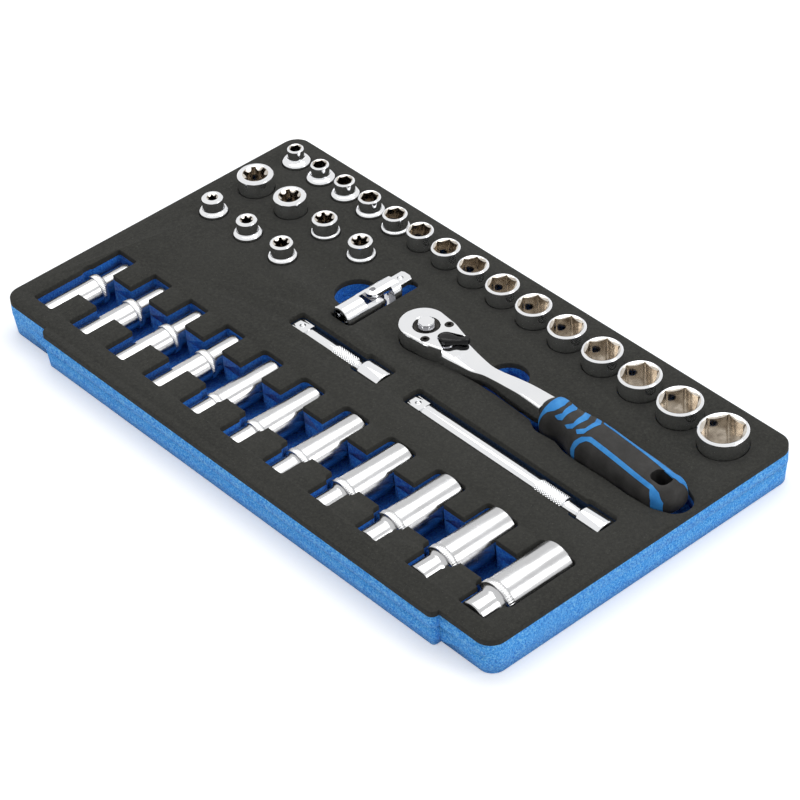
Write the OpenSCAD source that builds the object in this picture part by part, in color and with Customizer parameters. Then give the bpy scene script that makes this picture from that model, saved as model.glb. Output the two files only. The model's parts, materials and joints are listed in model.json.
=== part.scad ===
// Two-tone foam tool tray with a 3/8 inch square drive socket set.
// Origin: middle of the tray's underside. +X runs along the long side, +Y to the back, +Z up.
// Every tool is drawn in a frame of its own and then laid in its pocket.

/* [Foam tray] */
// Thickness of the thin top sheet
top_t = 3.5; // [2:0.5:6]
// Thickness of the middle sheet
mid_t = 7.6; // [5:0.2:9]
// Foam left under the deepest pocket
floor_t = 3.2; // [2:0.2:6]
// Radius of the tray's four corners
corner_r = 10; // [6:1:14]
// How far the middle of the front edge stands out
step_d = 5; // [2:1:8]
// Length of the front edge's left end that stays back
step_left = 42; // [30:1:60]
// Length of the front edge's right end that stays back
step_right = 38; // [30:1:60]
// Radius where the front edge steps out
step_r = 4; // [2:0.5:5]
// Gap between a tool and its pocket's wall or floor
fit = 0.3; // [0.2:0.05:0.6]
// Foam between the deep sockets and the front edge
front_edge = 17.7; // [12:0.1:30]
// Foam between the last tool and the right edge
side_edge = 8; // [6:0.5:20]

/* [Square drive] */
// Width across the flats of a male square
sq = 9.5; // [9:0.05:10]
// Extra width of a female square
sq_play = 0.15; // [0.1:0.05:0.3]
// Depth of a female square
sq_depth = 11.5; // [9:0.5:13]
// Length of a male square
sq_len = 10.6; // [9:0.1:12]
// Diameter over the rounded corners of a male square
sq_corner_d = 12.5; // [12:0.1:13]
// Radius of a locking ball
ball_r = 1.75; // [1.4:0.05:1.9]
// How far a locking ball stands out of its flat
ball_out = 0.7; // [0.4:0.05:0.9]
// Running gap round balls, pins and stems
run_fit = 0.05; // [0.02:0.01:0.1]

/* [Sockets] */
// Wall over a hexagon's corner that every socket has
wall_min = 1.25; // [1:0.05:1.6]
// Extra wall for each millimetre of hexagon
wall_grow = 0.033; // [0.01:0.001:0.05]
// Chamfer on the outer edges of a socket
edge_c = 0.6; // [0.3:0.1:1]
// Diameter of the drive end of a small upright socket
base_d = 17; // [16.4:0.1:18]
// Largest hexagon that still gets the wide drive end
base_last = 10; // [8:1:10]
// Length of an upright socket
short_l = 28; // [25:0.5:32]
// How far an upright socket stands out of the foam
short_show = 10.3; // [8:0.1:13]
// Length of a deep socket
deep_l = 60; // [55:1:70]
// Diameter of the drive end of a deep socket
deep_drive_d = 16; // [15.4:0.1:17]
// Distance from the drive end to the band of a large deep socket
band_z = 15.3; // [14:0.1:20]
// Distance from the drive end to the band of a small deep socket
flange_z = 35.3; // [30:0.1:40]
// Length of the knurled band
band_l = 4; // [3:0.5:6]
// Height of the knurled band over the socket's wall
band_out = 0.25; // [0.1:0.05:0.5]
// Smallest radius of the band
band_r = 9; // [8.6:0.1:9.4]

/* [Socket rows] */
// Distance of the first upright socket from the left edge
row_x = 21.2; // [18:0.1:30]
// Distance of the first upright socket from the back edge
row_y = 18.2; // [16:0.1:24]
// How far the row runs forward for each millimetre to the right
row_slant = 0.0247; // [0:0.0001:0.03]
// Foam between two upright sockets
row_gap = 5.93; // [4:0.01:10]
// Distance of the star sockets from the left edge
star_x = 24.2; // [20:0.1:30]
// Spacing of the star sockets along a row
star_pitch = 31.4; // [26:0.1:36]
// Distance of the back star row behind the first upright socket
star_drop = 33.9; // [32:0.1:40]
// Distance between the two star rows
star_rows = 32.5; // [26:0.1:40]
// Distance of the first deep socket from the left edge
deep_x = 21.9; // [18:0.1:30]
// Foam between two deep sockets
deep_gap = 17; // [14:0.1:22]
// Depth of the deep sockets' pockets
deep_depth = 20.8; // [18:0.1:30]
// Distance from the bars' centre line to the deep sockets
deep_drop = 31.4; // [26:0.1:40]
// Length of a finger notch between two deep sockets
notch_l = 24.5; // [18:0.5:30]
// Distance of a finger notch from the sockets' working end
notch_y = 16.7; // [10:0.1:20]
// Corner radius of the notches and pockets
pocket_r = 3; // [2:0.5:5]

/* [Extension bars] */
// Length of the short bar
bar_s_l = 75; // [65:1:90]
// Length of the long bar
bar_l_l = 151; // [140:1:170]
// Shaft diameter of the short bar
bar_s_d = 10; // [9:0.1:12]
// Shaft diameter of the long bar
bar_l_d = 12; // [9:0.1:12.4]
// Knurled length of the short bar
bar_s_knurl = 18; // [10:1:22]
// Knurled length of the long bar
bar_l_knurl = 21; // [10:1:26]
// Neck length of the short bar
bar_s_neck = 4.5; // [3:0.5:8]
// Neck length of the long bar
bar_l_neck = 11; // [5:0.5:14]
// Length of a bar's socket end
bar_head = 18.6; // [16:0.1:22]
// Diameter of a bar's socket end
bar_head_d = 16; // [15:0.1:17]
// Diameter of the neck behind a socket end
bar_neck_d = 9.6; // [8:0.1:10]
// Side room for a bar's shaft in its pocket
shaft_room = 0.6; // [0.4:0.1:1.5]
// Corner radius of the deep sockets' pockets at the drive end
snug_r = 1.2; // [0.8:0.1:1.6]
// Depth of the bars' centre line in the foam
bar_axis = 7.4; // [6:0.1:9]
// Distance from the left edge to the short bar
bar_x = 136.3; // [125:0.1:150]
// Foam between the two bars
bar_gap = 22.1; // [15:0.1:30]
// Distance from the ratchet's centre line to the bars'
bar_drop = 37.9; // [32:0.1:50]

/* [Universal joint] */
// Outer diameter of the universal joint
uj_d = 15.9; // [15:0.1:17]
// Distance from the cross to the open socket end
uj_front = 24.5; // [23:0.1:28]
// Width of the yokes' gap for the cross
uj_gap = 9.4; // [8.6:0.1:9.8]
// Radius of the round end of a yoke's ear
ear_r = 4.2; // [3.8:0.1:4.3]
// Distance from the cross to a yoke's solid part
throat = 9.7; // [9.6:0.1:10.5]
// Radius of the cross's pins
pin_r = 1.8; // [1.4:0.1:2.2]
// Depth of the joint's centre line in the foam
uj_axis = 0.5; // [0:0.1:2]
// Side room for the joint in its pocket
uj_room = 1.1; // [1:0.1:2]
// Radius of the finger hollow beside the joint
uj_relief_r = 12.8; // [10:0.1:15]
// Distance from the last star socket to the joint
uj_gap_x = 36.6; // [34:0.1:45]

/* [Ratchet] */
// Length from the drive's centre to the nose
nose = 16.6; // [16:0.1:18]
// Radius of the head's wide end
head_r = 13.6; // [13.4:0.1:15]
// Height of the head without its cover plate
head_h = 14; // [13:0.5:16]
// Thickness of the cover plate
plate_t = 3; // [2.5:0.1:4]
// How far the cover plate's top stands over the foam
head_show = 10.7; // [8:0.1:12]
// Distance from the drive's centre to the lever's pivot
lever_x = 16; // [15.6:0.1:16.6]
// Length of the lever from its pivot to its tip
lever_l = 13; // [11:0.1:15]
// Radius of the lever's round end over the pivot
lever_hub_r = 3.6; // [3:0.1:4.2]
// Radius of the lever's tip
lever_tip_r = 2.3; // [1.8:0.1:2.8]
// Radius of the lever's waist
lever_waist_r = 1.8; // [1.4:0.1:2.2]
// Thickness of the lever
lever_t = 3.2; // [2.5:0.1:4]
// Angle of the lever from the handle's line
lever_angle = 40; // [30:1:45]
// Tip radius of the drive gear
gear_r = 10.2; // [9.8:0.05:10.3]
// Number of teeth on the drive gear
gear_teeth = 36; // [32:4:40]
// Depth of the gear's teeth
tooth_h = 0.8; // [0.6:0.05:0.9]
// Angle that the pawl leans to either side
pawl_lean = 7.5; // [6:0.5:8]
// Radius of the release button
button_r = 4.85; // [4.5:0.05:5]
// Travel of the release button
button_travel = 2.5; // [2:0.1:2.8]
// Radius of the round window in the cover plate
window_r = 7.7; // [7.4:0.1:7.9]
// Distance from the drive's centre to the grip
grip_x = 93; // [85:1:100]
// Length of the grip
grip_l = 104; // [95:1:120]
// Half width of the grip
grip_w = 13.2; // [12:0.1:14]
// Half thickness of the grip
grip_h = 12.2; // [11:0.1:13]
// Depth of the coloured inlays
inlay_t = 1.2; // [0.8:0.1:1.6]
// Width of the steel tang inside the grip
tang_w = 12; // [9:0.5:13]
// Thickness of the steel tang
tang_t = 8; // [6:0.5:9]
// Distance from the universal joint to the ratchet's nose
ratchet_gap = 32.4; // [28:0.1:45]
// Distance from the ratchet's line to the first upright socket's
ratchet_drop = 59.8; // [56:0.1:70]

/* [Hidden] */
$fn = 96;
eps = 0.01;
// Narrow straight edge where a round sweep meets a shoulder
land = 0.1;
// How far a flank stays inside the two circles that it runs between
tuck = 0.02;
mesh_fn = 24;

hex_sizes = concat([for (s = [6:19]) s], [21]);
deep_sizes = concat([for (s = [8:17]) s], [19]);
// Star sockets: name, diameter over the bolt's points, outer diameter of the socket
stars_back = [["e16", 14.8, 21.6], ["e14", 12.9, 19.6], ["e12", 11.2, 15.1], ["e11", 10.1, 14.5]];
stars_front = [["e07", 6.2, 12.7], ["e08", 7.5, 12.6], ["e10", 9.4, 13.6]];

function two(n) = n < 10 ? str("0", n) : str(n);
function hex_name(s) = str("hex_socket_", two(s));
function deep_name(s) = str("deep_socket_", two(s));
function star_name(s) = str("star_socket_", s[0]);

// Outer radius of a socket for a hexagon, from the wall over its corners
function wall_r(s) = s / sqrt(3) + wall_min + wall_grow * s;
function short_r(s) = s <= base_last ? base_d / 2 : wall_r(s);
function deep_main_r(s) = max(wall_r(s), deep_drive_d / 2);
function small_deep(s) = wall_r(s) < deep_drive_d / 2 + 0.4;
function deep_end_r(s) = s < 16 ? deep_drive_d / 2 : deep_main_r(s) * 0.755;
function deep_max_r(s) = small_deep(s) ? band_r : deep_main_r(s) + band_out;
function star_r(s) = s[2] > base_d ? s[2] / 2 : base_d / 2;

// Places along the rows: each socket starts where the last one and its foam end
function along(i, r, start, gap) = i == 0 ? start : along(i - 1, r, start, gap) + r[i - 1] + gap + r[i];
short_radii = [for (s = hex_sizes) short_r(s)];
deep_radii = [for (s = deep_sizes) deep_main_r(s)];
short_xs = [for (i = [0:len(hex_sizes) - 1]) along(i, short_radii, row_x, row_gap)];
deep_xs = [for (i = [0:len(deep_sizes) - 1]) along(i, deep_radii, deep_x, deep_gap)];

// Lines across the tray, measured from its back edge
ratchet_y = row_y + ratchet_drop;
bar_y = ratchet_y + bar_drop;
deep_y = bar_y + deep_drop;
star_y = row_y + star_drop;
uj_x = star_x + 3 * star_pitch + uj_gap_x;
uj_y = ratchet_y - 3;
bar_l_x = bar_x + bar_s_l + bar_gap;
gear_x = uj_x + ratchet_gap + nose;
grip_end = gear_x + grip_x + grip_l;

tray_l = max(
    grip_end + side_edge,
    bar_l_x + bar_l_l + side_edge,
    short_xs[len(short_xs) - 1] + short_radii[len(short_xs) - 1] + side_edge,
    deep_xs[len(deep_xs) - 1] + deep_radii[len(deep_xs) - 1] + side_edge);
tray_w = deep_y + deep_l + front_edge;

// Depths below the foam's top face
short_depth = short_l - short_show;
bar_depth = bar_axis + bar_head_d / 2 + fit;
uj_depth = uj_axis + uj_d / 2 + fit;
drive_depth = head_h + plate_t - head_show + sq_len + fit;
grip_depth = grip_h + 1;
tray_h = floor_t + max(deep_depth, short_depth, bar_depth, drive_depth, grip_depth);
base_t = tray_h - top_t - mid_t;

// ---------- helpers ----------

// Moves a part from the tray's back left corner of the top face to the model's frame
module from_corner(x, y, z) {
    translate([x - tray_l / 2, tray_w / 2 - y, tray_h + z]) children();
}

// Rectangle with round corners, its lower left corner at the origin
module round_box(l, w, r) {
    translate([r, 0]) square([l - 2 * r, w]);
    translate([0, r]) square([l, w - 2 * r]);
    for (x = [r, l - r], y = [r, w - r]) translate([x, y]) circle(r);
}

// Block of height h over two circles on the X axis, as [x, radius], and the flanks between them
module taper(h, a, b, grow = 0) {
    r1 = a[1] + grow;
    r2 = b[1] + grow;
    lean = asin((r1 - r2) / (b[0] - a[0]));
    side = [sin(lean), cos(lean)];
    p1 = [a[0], 0] + (r1 - tuck) * side;
    p2 = [b[0], 0] + (r2 - tuck) * side;
    linear_extrude(h) polygon([p1, p2, [p2[0], -p2[1]], [p1[0], -p1[1]]]);
    translate([a[0], 0, 0]) cylinder(h = h, r = r1);
    translate([b[0], 0, 0]) cylinder(h = h, r = r2);
}

module taper_chain(h, stations, grow = 0) {
    for (i = [0:len(stations) - 2]) taper(h, stations[i], stations[i + 1], grow);
}

// Coil spring standing on z = 0: six-sided rings of points swept along a helix
module coil(r, wire_r, turns, h) {
    steps = turns * 12;
    rise = h - 2 * wire_r;
    points = [for (i = [0:steps], a = [0:60:300]) let (turn = 360 * turns * i / steps)
        [(r + wire_r * cos(a)) * cos(turn), (r + wire_r * cos(a)) * sin(turn),
         wire_r + rise * i / steps + wire_r * sin(a)]];
    sides = [for (i = [0:steps - 1], j = [0:5])
        [6 * i + j, 6 * (i + 1) + j, 6 * (i + 1) + (j + 1) % 6, 6 * i + (j + 1) % 6]];
    polyhedron(points, concat([[for (j = [0:5]) j]], sides, [[for (j = [5:-1:0]) 6 * steps + j]]));
}

// ---------- square drive ----------

// Male square from z = 0 (tip) upwards, with turned corners and a bevelled tip
module male_square() {
    intersection() {
        translate([-sq / 2, -sq / 2, 0]) cube([sq, sq, sq_len]);
        union() {
            cylinder(h = 1, r1 = sq_corner_d / 2 - 1, r2 = sq_corner_d / 2);
            translate([0, 0, 1]) cylinder(h = sq_len - 1, d = sq_corner_d);
        }
    }
}

// Female square going up from z = 0 (mouth), with its lead-in and its turned ball groove
module female_square() {
    hole = sq + sq_play;
    translate([-hole / 2, -hole / 2, -eps]) cube([hole, hole, sq_depth]);
    translate([0, 0, sq_len / 2 - 1.3]) cylinder(h = 2.6, r = hole / 2 + 0.5);
    translate([0, 0, -eps]) cylinder(h = 1, r1 = hole / 2 + 1.3, r2 = hole / 2 + 0.3);
}

ball_z = sq_len / 2;
ball_c = sq / 2 + ball_out - ball_r;
ball_spring_h = ball_c - ball_r + 2;

// Blind bore for a ball and its spring, across a male square towards -X
module ball_bore() {
    translate([0, 0, ball_z]) rotate([0, -90, 0]) translate([0, 0, -2])
        cylinder(h = sq / 2 + 2 + eps, r = ball_r + run_fit);
}

module ball_at() {
    translate([-ball_c, 0, ball_z]) sphere(ball_r);
}

module ball_spring_at() {
    translate([0, 0, ball_z]) rotate([0, -90, 0]) translate([0, 0, -2])
        coil(ball_r - 0.5, 0.25, 3, ball_spring_h);
}

// ---------- sockets, drive end on z = 0 ----------

module hex_outline(af) {
    corner = af / sqrt(3);
    circle(corner, $fn = 6);
    for (a = [0:60:300]) rotate(a) translate([corner * 0.955, 0]) circle(corner * 0.07);
}

// Six-lobed outline for a star bolt
module star_outline(d) {
    flute = d * 0.17;
    difference() {
        circle(d = d);
        for (a = [0:60:300]) rotate(a) translate([d * 0.358 + flute, 0]) circle(flute);
    }
}

// Everything that is hollow in a socket: l is its length, mouth the bolt recess's depth,
// inner the half width of that recess and outer its corner radius
module socket_hollow(l, mouth, inner, outer) {
    lead = (outer - inner + 0.3) * 0.7;
    translate([0, 0, l - mouth]) linear_extrude(mouth + eps) children();
    translate([0, 0, l - lead]) cylinder(h = lead + eps, r1 = inner - 0.1, r2 = outer + 0.3);
    translate([0, 0, sq_depth - 1])
        cylinder(h = l - mouth - sq_depth + 2, r = min(inner * 0.9, sq / 2 - 0.5));
    female_square();
}

// Wide drive end of radius wide that runs into a narrower wall of radius r at height z
module flared_profile(l, r, wide, z) {
    bevel = min(1, (wide - r) * 0.4);
    sweep = wide - bevel - r;
    polygon([[0, 0], [wide - edge_c, 0], [wide, edge_c],
             [wide, z], [wide - bevel, z + bevel], [0, z + bevel]]);
    polygon([[0, 0], [r, 0], [r, l - edge_c], [r - edge_c, l], [0, l]]);
    difference() {
        translate([0, z + bevel]) square([wide - bevel, sweep + land]);
        translate([r + sweep, z + bevel + sweep + land]) circle(sweep);
    }
}

module short_blank(r, wide) {
    if (wide > r + 0.2)
        rotate_extrude() flared_profile(short_l, r, wide, short_depth + 1.3);
    else
        rotate_extrude() polygon([[0, 0], [r - edge_c, 0], [r, edge_c],
                                  [r, short_l - edge_c], [r - edge_c, short_l], [0, short_l]]);
}

module short_hex(s) {
    color("silver") difference() {
        short_blank(wall_r(s), short_r(s));
        socket_hollow(short_l, short_l / 2 - 1, s / 2, s / sqrt(3)) hex_outline(s);
    }
}

module short_star(s) {
    color("silver") difference() {
        short_blank(s[2] / 2, star_r(s));
        socket_hollow(short_l, short_l / 2 - 1, s[1] * 0.358, s[1] / 2) star_outline(s[1]);
    }
}

// Small deep socket: thick drive end, knurled flange, slim working end
module deep_small_profile(s) {
    r = wall_r(s);
    end = deep_drive_d / 2;
    polygon([[0, 0], [end - edge_c, 0], [end, edge_c], [end, flange_z], [0, flange_z]]);
    translate([0, flange_z]) square([band_r, band_l]);
    translate([0, flange_z + band_l]) flared_tip(deep_l - flange_z - band_l, r, band_r - 0.5);
}

// Slim end of length l and radius r that leaves a wider shoulder with a round sweep
module flared_tip(l, r, wide) {
    sweep = wide - r;
    polygon([[0, 0], [r, 0], [r, l - edge_c], [r - edge_c, l], [0, l]]);
    difference() {
        square([wide, sweep + land]);
        translate([wide, sweep + land]) circle(sweep);
    }
}

// Large deep socket: slimmer drive end, round neck, knurled band, full wall to the tip
module deep_large_profile(s) {
    r = deep_main_r(s);
    end = deep_end_r(s);
    sweep = r - end;
    polygon([[0, 0], [end - edge_c, 0], [end, edge_c], [end, band_z], [0, band_z]]);
    translate([0, band_z]) square([r + band_out, band_l]);
    translate([0, band_z + band_l - eps])
        polygon([[0, 0], [r, 0], [r, deep_l - band_z - band_l - edge_c + eps],
                 [r - edge_c, deep_l - band_z - band_l + eps], [0, deep_l - band_z - band_l + eps]]);
    if (sweep > 0.2) difference() {
        translate([0, band_z - sweep - land]) square([r, sweep + land + eps]);
        translate([r, band_z - sweep - land]) circle(sweep);
    }
}

module deep_hex(s) {
    mouth = deep_l / 3;
    color("silver") difference() {
        rotate_extrude() if (small_deep(s)) deep_small_profile(s); else deep_large_profile(s);
        socket_hollow(deep_l, mouth, s / 2, s / sqrt(3)) hex_outline(s);
        translate([0, 0, deep_l / 4]) cylinder(h = deep_l - mouth - deep_l / 4 + eps, r = s * 0.46);
    }
}

module short_place(i) {
    x = short_xs[i];
    from_corner(x, row_y + row_slant * x, -short_depth) children();
}

module star_place(i, row) {
    from_corner(star_x + i * star_pitch, star_y + row * star_rows, -short_depth) children();
}

module deep_place(i) {
    from_corner(deep_xs[i], deep_y + deep_l, fit - deep_depth + deep_max_r(deep_sizes[i]))
        rotate([-90, 0, 0]) children();
}

// ---------- extension bars, male tip on z = 0 ----------

// Turned shape from [height, radius] steps
module turned(steps) {
    rotate_extrude() polygon(concat([[0, steps[0][0]]], [for (p = steps) [p[1], p[0]]],
                                    [[0, steps[len(steps) - 1][0]]]));
}

module bar(l, d, knurl, neck) {
    head_z = l - bar_head;
    knurl_z = head_z - neck - knurl;
    head = bar_head_d / 2;
    flare = head - bar_neck_d / 2;
    color("silver") difference() {
        union() {
            male_square();
            turned([[sq_len, sq / 2 - 0.3], [sq_len + 1.2, sq / 2 - 0.3], [sq_len + 1.2, d / 2 - 0.3],
                    [sq_len + 1.5, d / 2], [knurl_z, d / 2], [knurl_z + 0.3, d / 2 + 0.3],
                    [knurl_z + knurl - 0.3, d / 2 + 0.3], [knurl_z + knurl, d / 2],
                    [knurl_z + knurl + 0.6, bar_neck_d / 2], [head_z - flare * 0.4, bar_neck_d / 2],
                    [head_z + flare * 0.4, head - edge_c], [head_z + flare * 0.4 + edge_c, head],
                    [l - edge_c, head], [l, head - edge_c]]);
        }
        ball_bore();
        translate([0, 0, l]) rotate([180, 0, 0]) female_square();
    }
}

module short_bar_place() {
    from_corner(bar_x, bar_y, -bar_axis) rotate([0, 90, 0]) children();
}

module long_bar_place() {
    from_corner(bar_l_x, bar_y, -bar_axis) rotate([0, 90, 0]) children();
}

// ---------- universal joint, cross at the origin, socket end towards -Y ----------

// Two ears on the X sides of a yoke that ends on the plane y = throat, round towards the cross
module yoke_ears() {
    intersection() {
        union() {
            sphere(uj_d / 2 + fit / 2);
            rotate([-90, 0, 0]) cylinder(h = throat + eps, d = uj_d);
        }
        rotate([90, 0, 0]) cylinder(h = 4 * throat, d = uj_d, center = true);
        difference() {
            union() {
                rotate([0, 90, 0]) cylinder(h = uj_d, r = ear_r, center = true);
                translate([-uj_d / 2, 0, -ear_r]) cube([uj_d, throat + eps, 2 * ear_r]);
            }
            translate([-uj_gap / 2, -throat, -throat]) cube([uj_gap, 2 * throat, 2 * throat]);
        }
    }
}

module pin_bore() {
    rotate([0, 90, 0]) cylinder(h = 2 * uj_d, r = pin_r + run_fit, center = true);
}

module yoke_up(l) {
    rotate([-90, 0, 0]) translate([0, 0, throat]) rotate_extrude()
        polygon([[0, 0], [uj_d / 2, 0], [uj_d / 2, l - edge_c], [uj_d / 2 - edge_c, l], [0, l]]);
}

module joint_socket_yoke() {
    color("silver") rotate([0, 0, 180]) difference() {
        union() {
            yoke_ears();
            yoke_up(uj_front - throat);
        }
        pin_bore();
        translate([0, uj_front, 0]) rotate([90, 0, 0]) female_square();
    }
}

module joint_cross() {
    block = uj_gap - 0.4;
    pin_l = uj_d - 1;
    color("dimgray") {
        translate([-block / 2, -block / 2, -block / 2]) cube(block);
        rotate([0, 90, 0]) cylinder(h = pin_l, r = pin_r, center = true);
        cylinder(h = pin_l, r = pin_r, center = true);
    }
}

uj_body = 5.6;
uj_tip = throat + uj_body + sq_len;

module joint_tip_place() {
    translate([0, uj_tip, 0]) rotate([90, 0, 0]) rotate([0, 0, 90]) children();
}

module joint_drive_yoke() {
    color("silver") difference() {
        union() {
            rotate([0, 90, 0]) yoke_ears();
            yoke_up(uj_body);
            joint_tip_place() male_square();
            rotate([-90, 0, 0]) translate([0, 0, throat + uj_body - eps])
                cylinder(h = 1.2, d = sq_corner_d);
        }
        rotate([0, 90, 0]) pin_bore();
        joint_tip_place() rotate([0, 0, 180]) ball_bore();
    }
}

module joint_place() {
    from_corner(uj_x, uj_y, -uj_axis) children();
}

// ---------- ratchet, drive's centre line on Z, underside of the head on z = 0 ----------

head_back = head_r - nose;
// Plan of the head and its tail, as [x, radius]
head_plan = [[head_back, head_r], [lever_x - 7, 12], [lever_x + 6, 7.6]];
plate_end = lever_x + 4.2;
handle_z = head_h + plate_t - head_show + 0.3;
// Neck sections, as [x, half width, half thickness, height of the middle over the handle's line]
neck_plan = [[lever_x + 7, 7.4, 7.6, 1.8], [lever_x + 18, 6.8, 6.4, 1], [grip_x - 45, 5.6, 5, 0.2],
             [grip_x - 30, 5.5, 5.4, 0], [grip_x - 14, 6.2, 7.2, 0], [grip_x + 3, 7.2, 9.2, 0]];
// Grip sections, as [x from its start, share of the half width, share of the half thickness]
grip_plan = [[3, 0.66, 0.8], [8, 0.84, 0.9], [21, 0.76, 0.85], [32, 0.97, 0.98], [42, 1, 1],
             [60, 0.95, 0.94], [78, 1, 0.9], [grip_l - 12, 0.93, 0.86], [grip_l - 4.6, 0.72, 0.66]];
hang_x = grip_x + grip_l - 14;
hang_l = 10;
hang_w = 9;
hang_corner = 3.2;
gear_floor = 2.5;
gear_pocket_r = gear_r + 0.25;
pawl_pocket_r = 8.6;
stem_r = 2.4;
screw_x = 8.8;
screw_y = 9;
screw_r = 1.5;
screw_head_r = 2.45;
screw_head_t = 1.6;
screw_l = 9;
hub_r = 7.4;
rod_r = ball_c - (ball_r + run_fit) / cos(atan(ball_out / button_travel));
spring_room = 3.4;
button_t = 3;
button_top = head_h + plate_t + 0.2;
cap_floor = button_top - button_t - button_travel - 0.3;
spring_floor = 5;

module handle_section(x, w, h, up = 0) {
    translate([x, 0, handle_z + up]) scale([min(w, h) * 0.3, w, h]) sphere(1, $fn = mesh_fn);
}

module neck() {
    for (i = [0:len(neck_plan) - 2]) hull() for (p = [neck_plan[i], neck_plan[i + 1]])
        handle_section(p[0], p[1], p[2], p[3]);
}

module tang(grow = 0) {
    l = grip_l - 30 + grow;
    translate([grip_x - 1, -tang_w / 2 - grow, handle_z - tang_t / 2 - grow])
        cube([l + 1, tang_w + 2 * grow, tang_t + 2 * grow]);
}

module screw_places() {
    for (side = [-1, 1]) translate([screw_x, side * screw_y, 0]) children();
}

module ratchet_body() {
    color("silver") difference() {
        union() {
            intersection() {
                taper_chain(head_h, head_plan);
                union() {
                    translate([head_back, 0, 0]) turned([[0, head_r - 1.2], [1.2, head_r], [head_h, head_r]]);
                    translate([head_back, -head_r, 0]) cube([2 * head_r + nose, 2 * head_r, head_h]);
                }
            }
            neck();
            tang();
        }
        translate([0, 0, gear_floor]) cylinder(h = head_h + eps, r = gear_pocket_r);
        translate([0, 0, -eps]) cylinder(h = head_h, r = hub_r + run_fit);
        translate([lever_x - 1.5, 0, gear_floor]) cylinder(h = head_h + eps, r = pawl_pocket_r);
        translate([lever_x, 0, 1]) cylinder(h = head_h, r = stem_r + run_fit);
        screw_places() translate([0, 0, head_h + plate_t - screw_head_t - screw_l - 0.3])
            cylinder(h = head_h, r = screw_r + run_fit);
    }
}

module cover_plate() {
    color("silver") translate([0, 0, head_h]) difference() {
        intersection() {
            taper_chain(plate_t, head_plan);
            union() {
                translate([head_back, 0, 0])
                    turned([[0, head_r], [plate_t - 1, head_r], [plate_t, head_r - 1]]);
                translate([head_back, -head_r, 0]) cube([plate_end - head_back, 2 * head_r, plate_t]);
            }
        }
        translate([0, 0, -eps]) cylinder(h = plate_t + 1, r = window_r);
        translate([lever_x, 0, -eps]) cylinder(h = plate_t + 1, r = stem_r + run_fit);
        screw_places() {
            translate([0, 0, -eps]) cylinder(h = plate_t + 1, r = screw_r + run_fit);
            translate([0, 0, plate_t - screw_head_t]) cylinder(h = plate_t, r = screw_head_r + run_fit);
        }
    }
}

module cover_screws() {
    color("gray") screw_places() translate([0, 0, head_h + plate_t - screw_head_t]) difference() {
        union() {
            cylinder(h = screw_head_t, r = screw_head_r);
            translate([0, 0, -screw_l]) cylinder(h = screw_l + eps, r = screw_r);
        }
        translate([0, 0, screw_head_t - 0.9]) cylinder(h = 1, r = 1.3, $fn = 6);
    }
}

// Outline of the drive gear with pointed teeth
module gear_outline(grow = 0) {
    step = 180 / gear_teeth;
    polygon([for (i = [0:2 * gear_teeth - 1])
        (gear_r + grow - (i % 2) * tooth_h) * [cos(i * step), sin(i * step)]]);
}

module drive_gear() {
    ring_z = gear_floor + 0.1;
    color("silver") difference() {
        union() {
            translate([0, 0, ring_z]) linear_extrude(head_h - 0.1 - ring_z) gear_outline();
            cylinder(h = ring_z + 1, r = hub_r);
            translate([0, 0, ring_z]) cylinder(h = head_h + 1.2 - ring_z, r = window_r - 0.1);
            translate([0, 0, -sq_len]) male_square();
        }
        translate([0, 0, -sq_len + 1]) cylinder(h = sq_len + head_h, r = rod_r + run_fit);
        translate([0, 0, spring_floor]) cylinder(h = head_h, r = spring_room);
        translate([0, 0, cap_floor]) cylinder(h = head_h, r = button_r + run_fit);
        translate([0, 0, -sq_len]) ball_bore();
    }
}

module about_pivot(a) {
    translate([lever_x, 0]) rotate(a) translate([-lever_x, 0]) children();
}

// Pawl between its two working positions; in both of them it is cut free of the gear
module pawl() {
    reach = 6.2;
    h = head_h - gear_floor - 0.5;
    color("dimgray") translate([0, 0, gear_floor + 0.2]) about_pivot(pawl_lean) difference() {
        union() {
            translate([lever_x, 0, 0]) cylinder(h = h, r = stem_r + 2.2);
            linear_extrude(h)
                polygon([[gear_r - 2, -reach], [gear_r - 2, reach], [lever_x - 2, reach + 0.4],
                         [lever_x, stem_r + 2], [lever_x, -stem_r - 2], [lever_x - 2, -reach - 0.4]]);
        }
        for (side = [-1, 1]) translate([0, 0, -1]) linear_extrude(h + 2)
            about_pivot(side * pawl_lean) gear_outline(0.15);
        translate([gear_r - 3, -3.8, -1]) cube([3.4, 7.6, h + 2]);
        translate([lever_x, 0, -1]) cylinder(h = h + 2, r = stem_r + run_fit);
    }
}

module reverse_lever() {
    tip_x = lever_l - lever_tip_r;
    plan = [[0, lever_hub_r], [lever_hub_r, lever_waist_r + 0.6],
            [tip_x * 0.65, lever_waist_r], [tip_x, lever_tip_r]];
    color("black") translate([lever_x, 0, 0]) {
        translate([0, 0, 1.2]) cylinder(h = head_h + plate_t - 1, r = stem_r);
        translate([0, 0, head_h + plate_t + 0.2]) rotate(lever_angle) {
            taper_chain(lever_t, plan);
            translate([tip_x, 0, 0]) cylinder(h = lever_t + 0.8, r = lever_tip_r);
        }
    }
}

module lock_ball() { color("silver") translate([0, 0, -sq_len]) ball_at(); }

module release_button() {
    color("silver") turned([
        [-sq_len + 3.8, rod_r], [-sq_len + ball_z, rod_r],
        [-sq_len + ball_z + button_travel + 1, rod_r - ball_out * (1 + 1 / button_travel)],
        [-sq_len + ball_z + button_travel + 2.5, rod_r],
        [button_top - button_t, rod_r], [button_top - button_t, button_r],
        [button_top - 1.2, button_r], [button_top - 1.2, button_r * 0.62],
        [button_top, button_r * 0.55]]);
}

module button_spring() {
    color("gray") translate([0, 0, spring_floor + 0.3])
        coil(spring_room - 0.7, 0.35, 5, button_top - button_t - spring_floor - 0.6);
}

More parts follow.
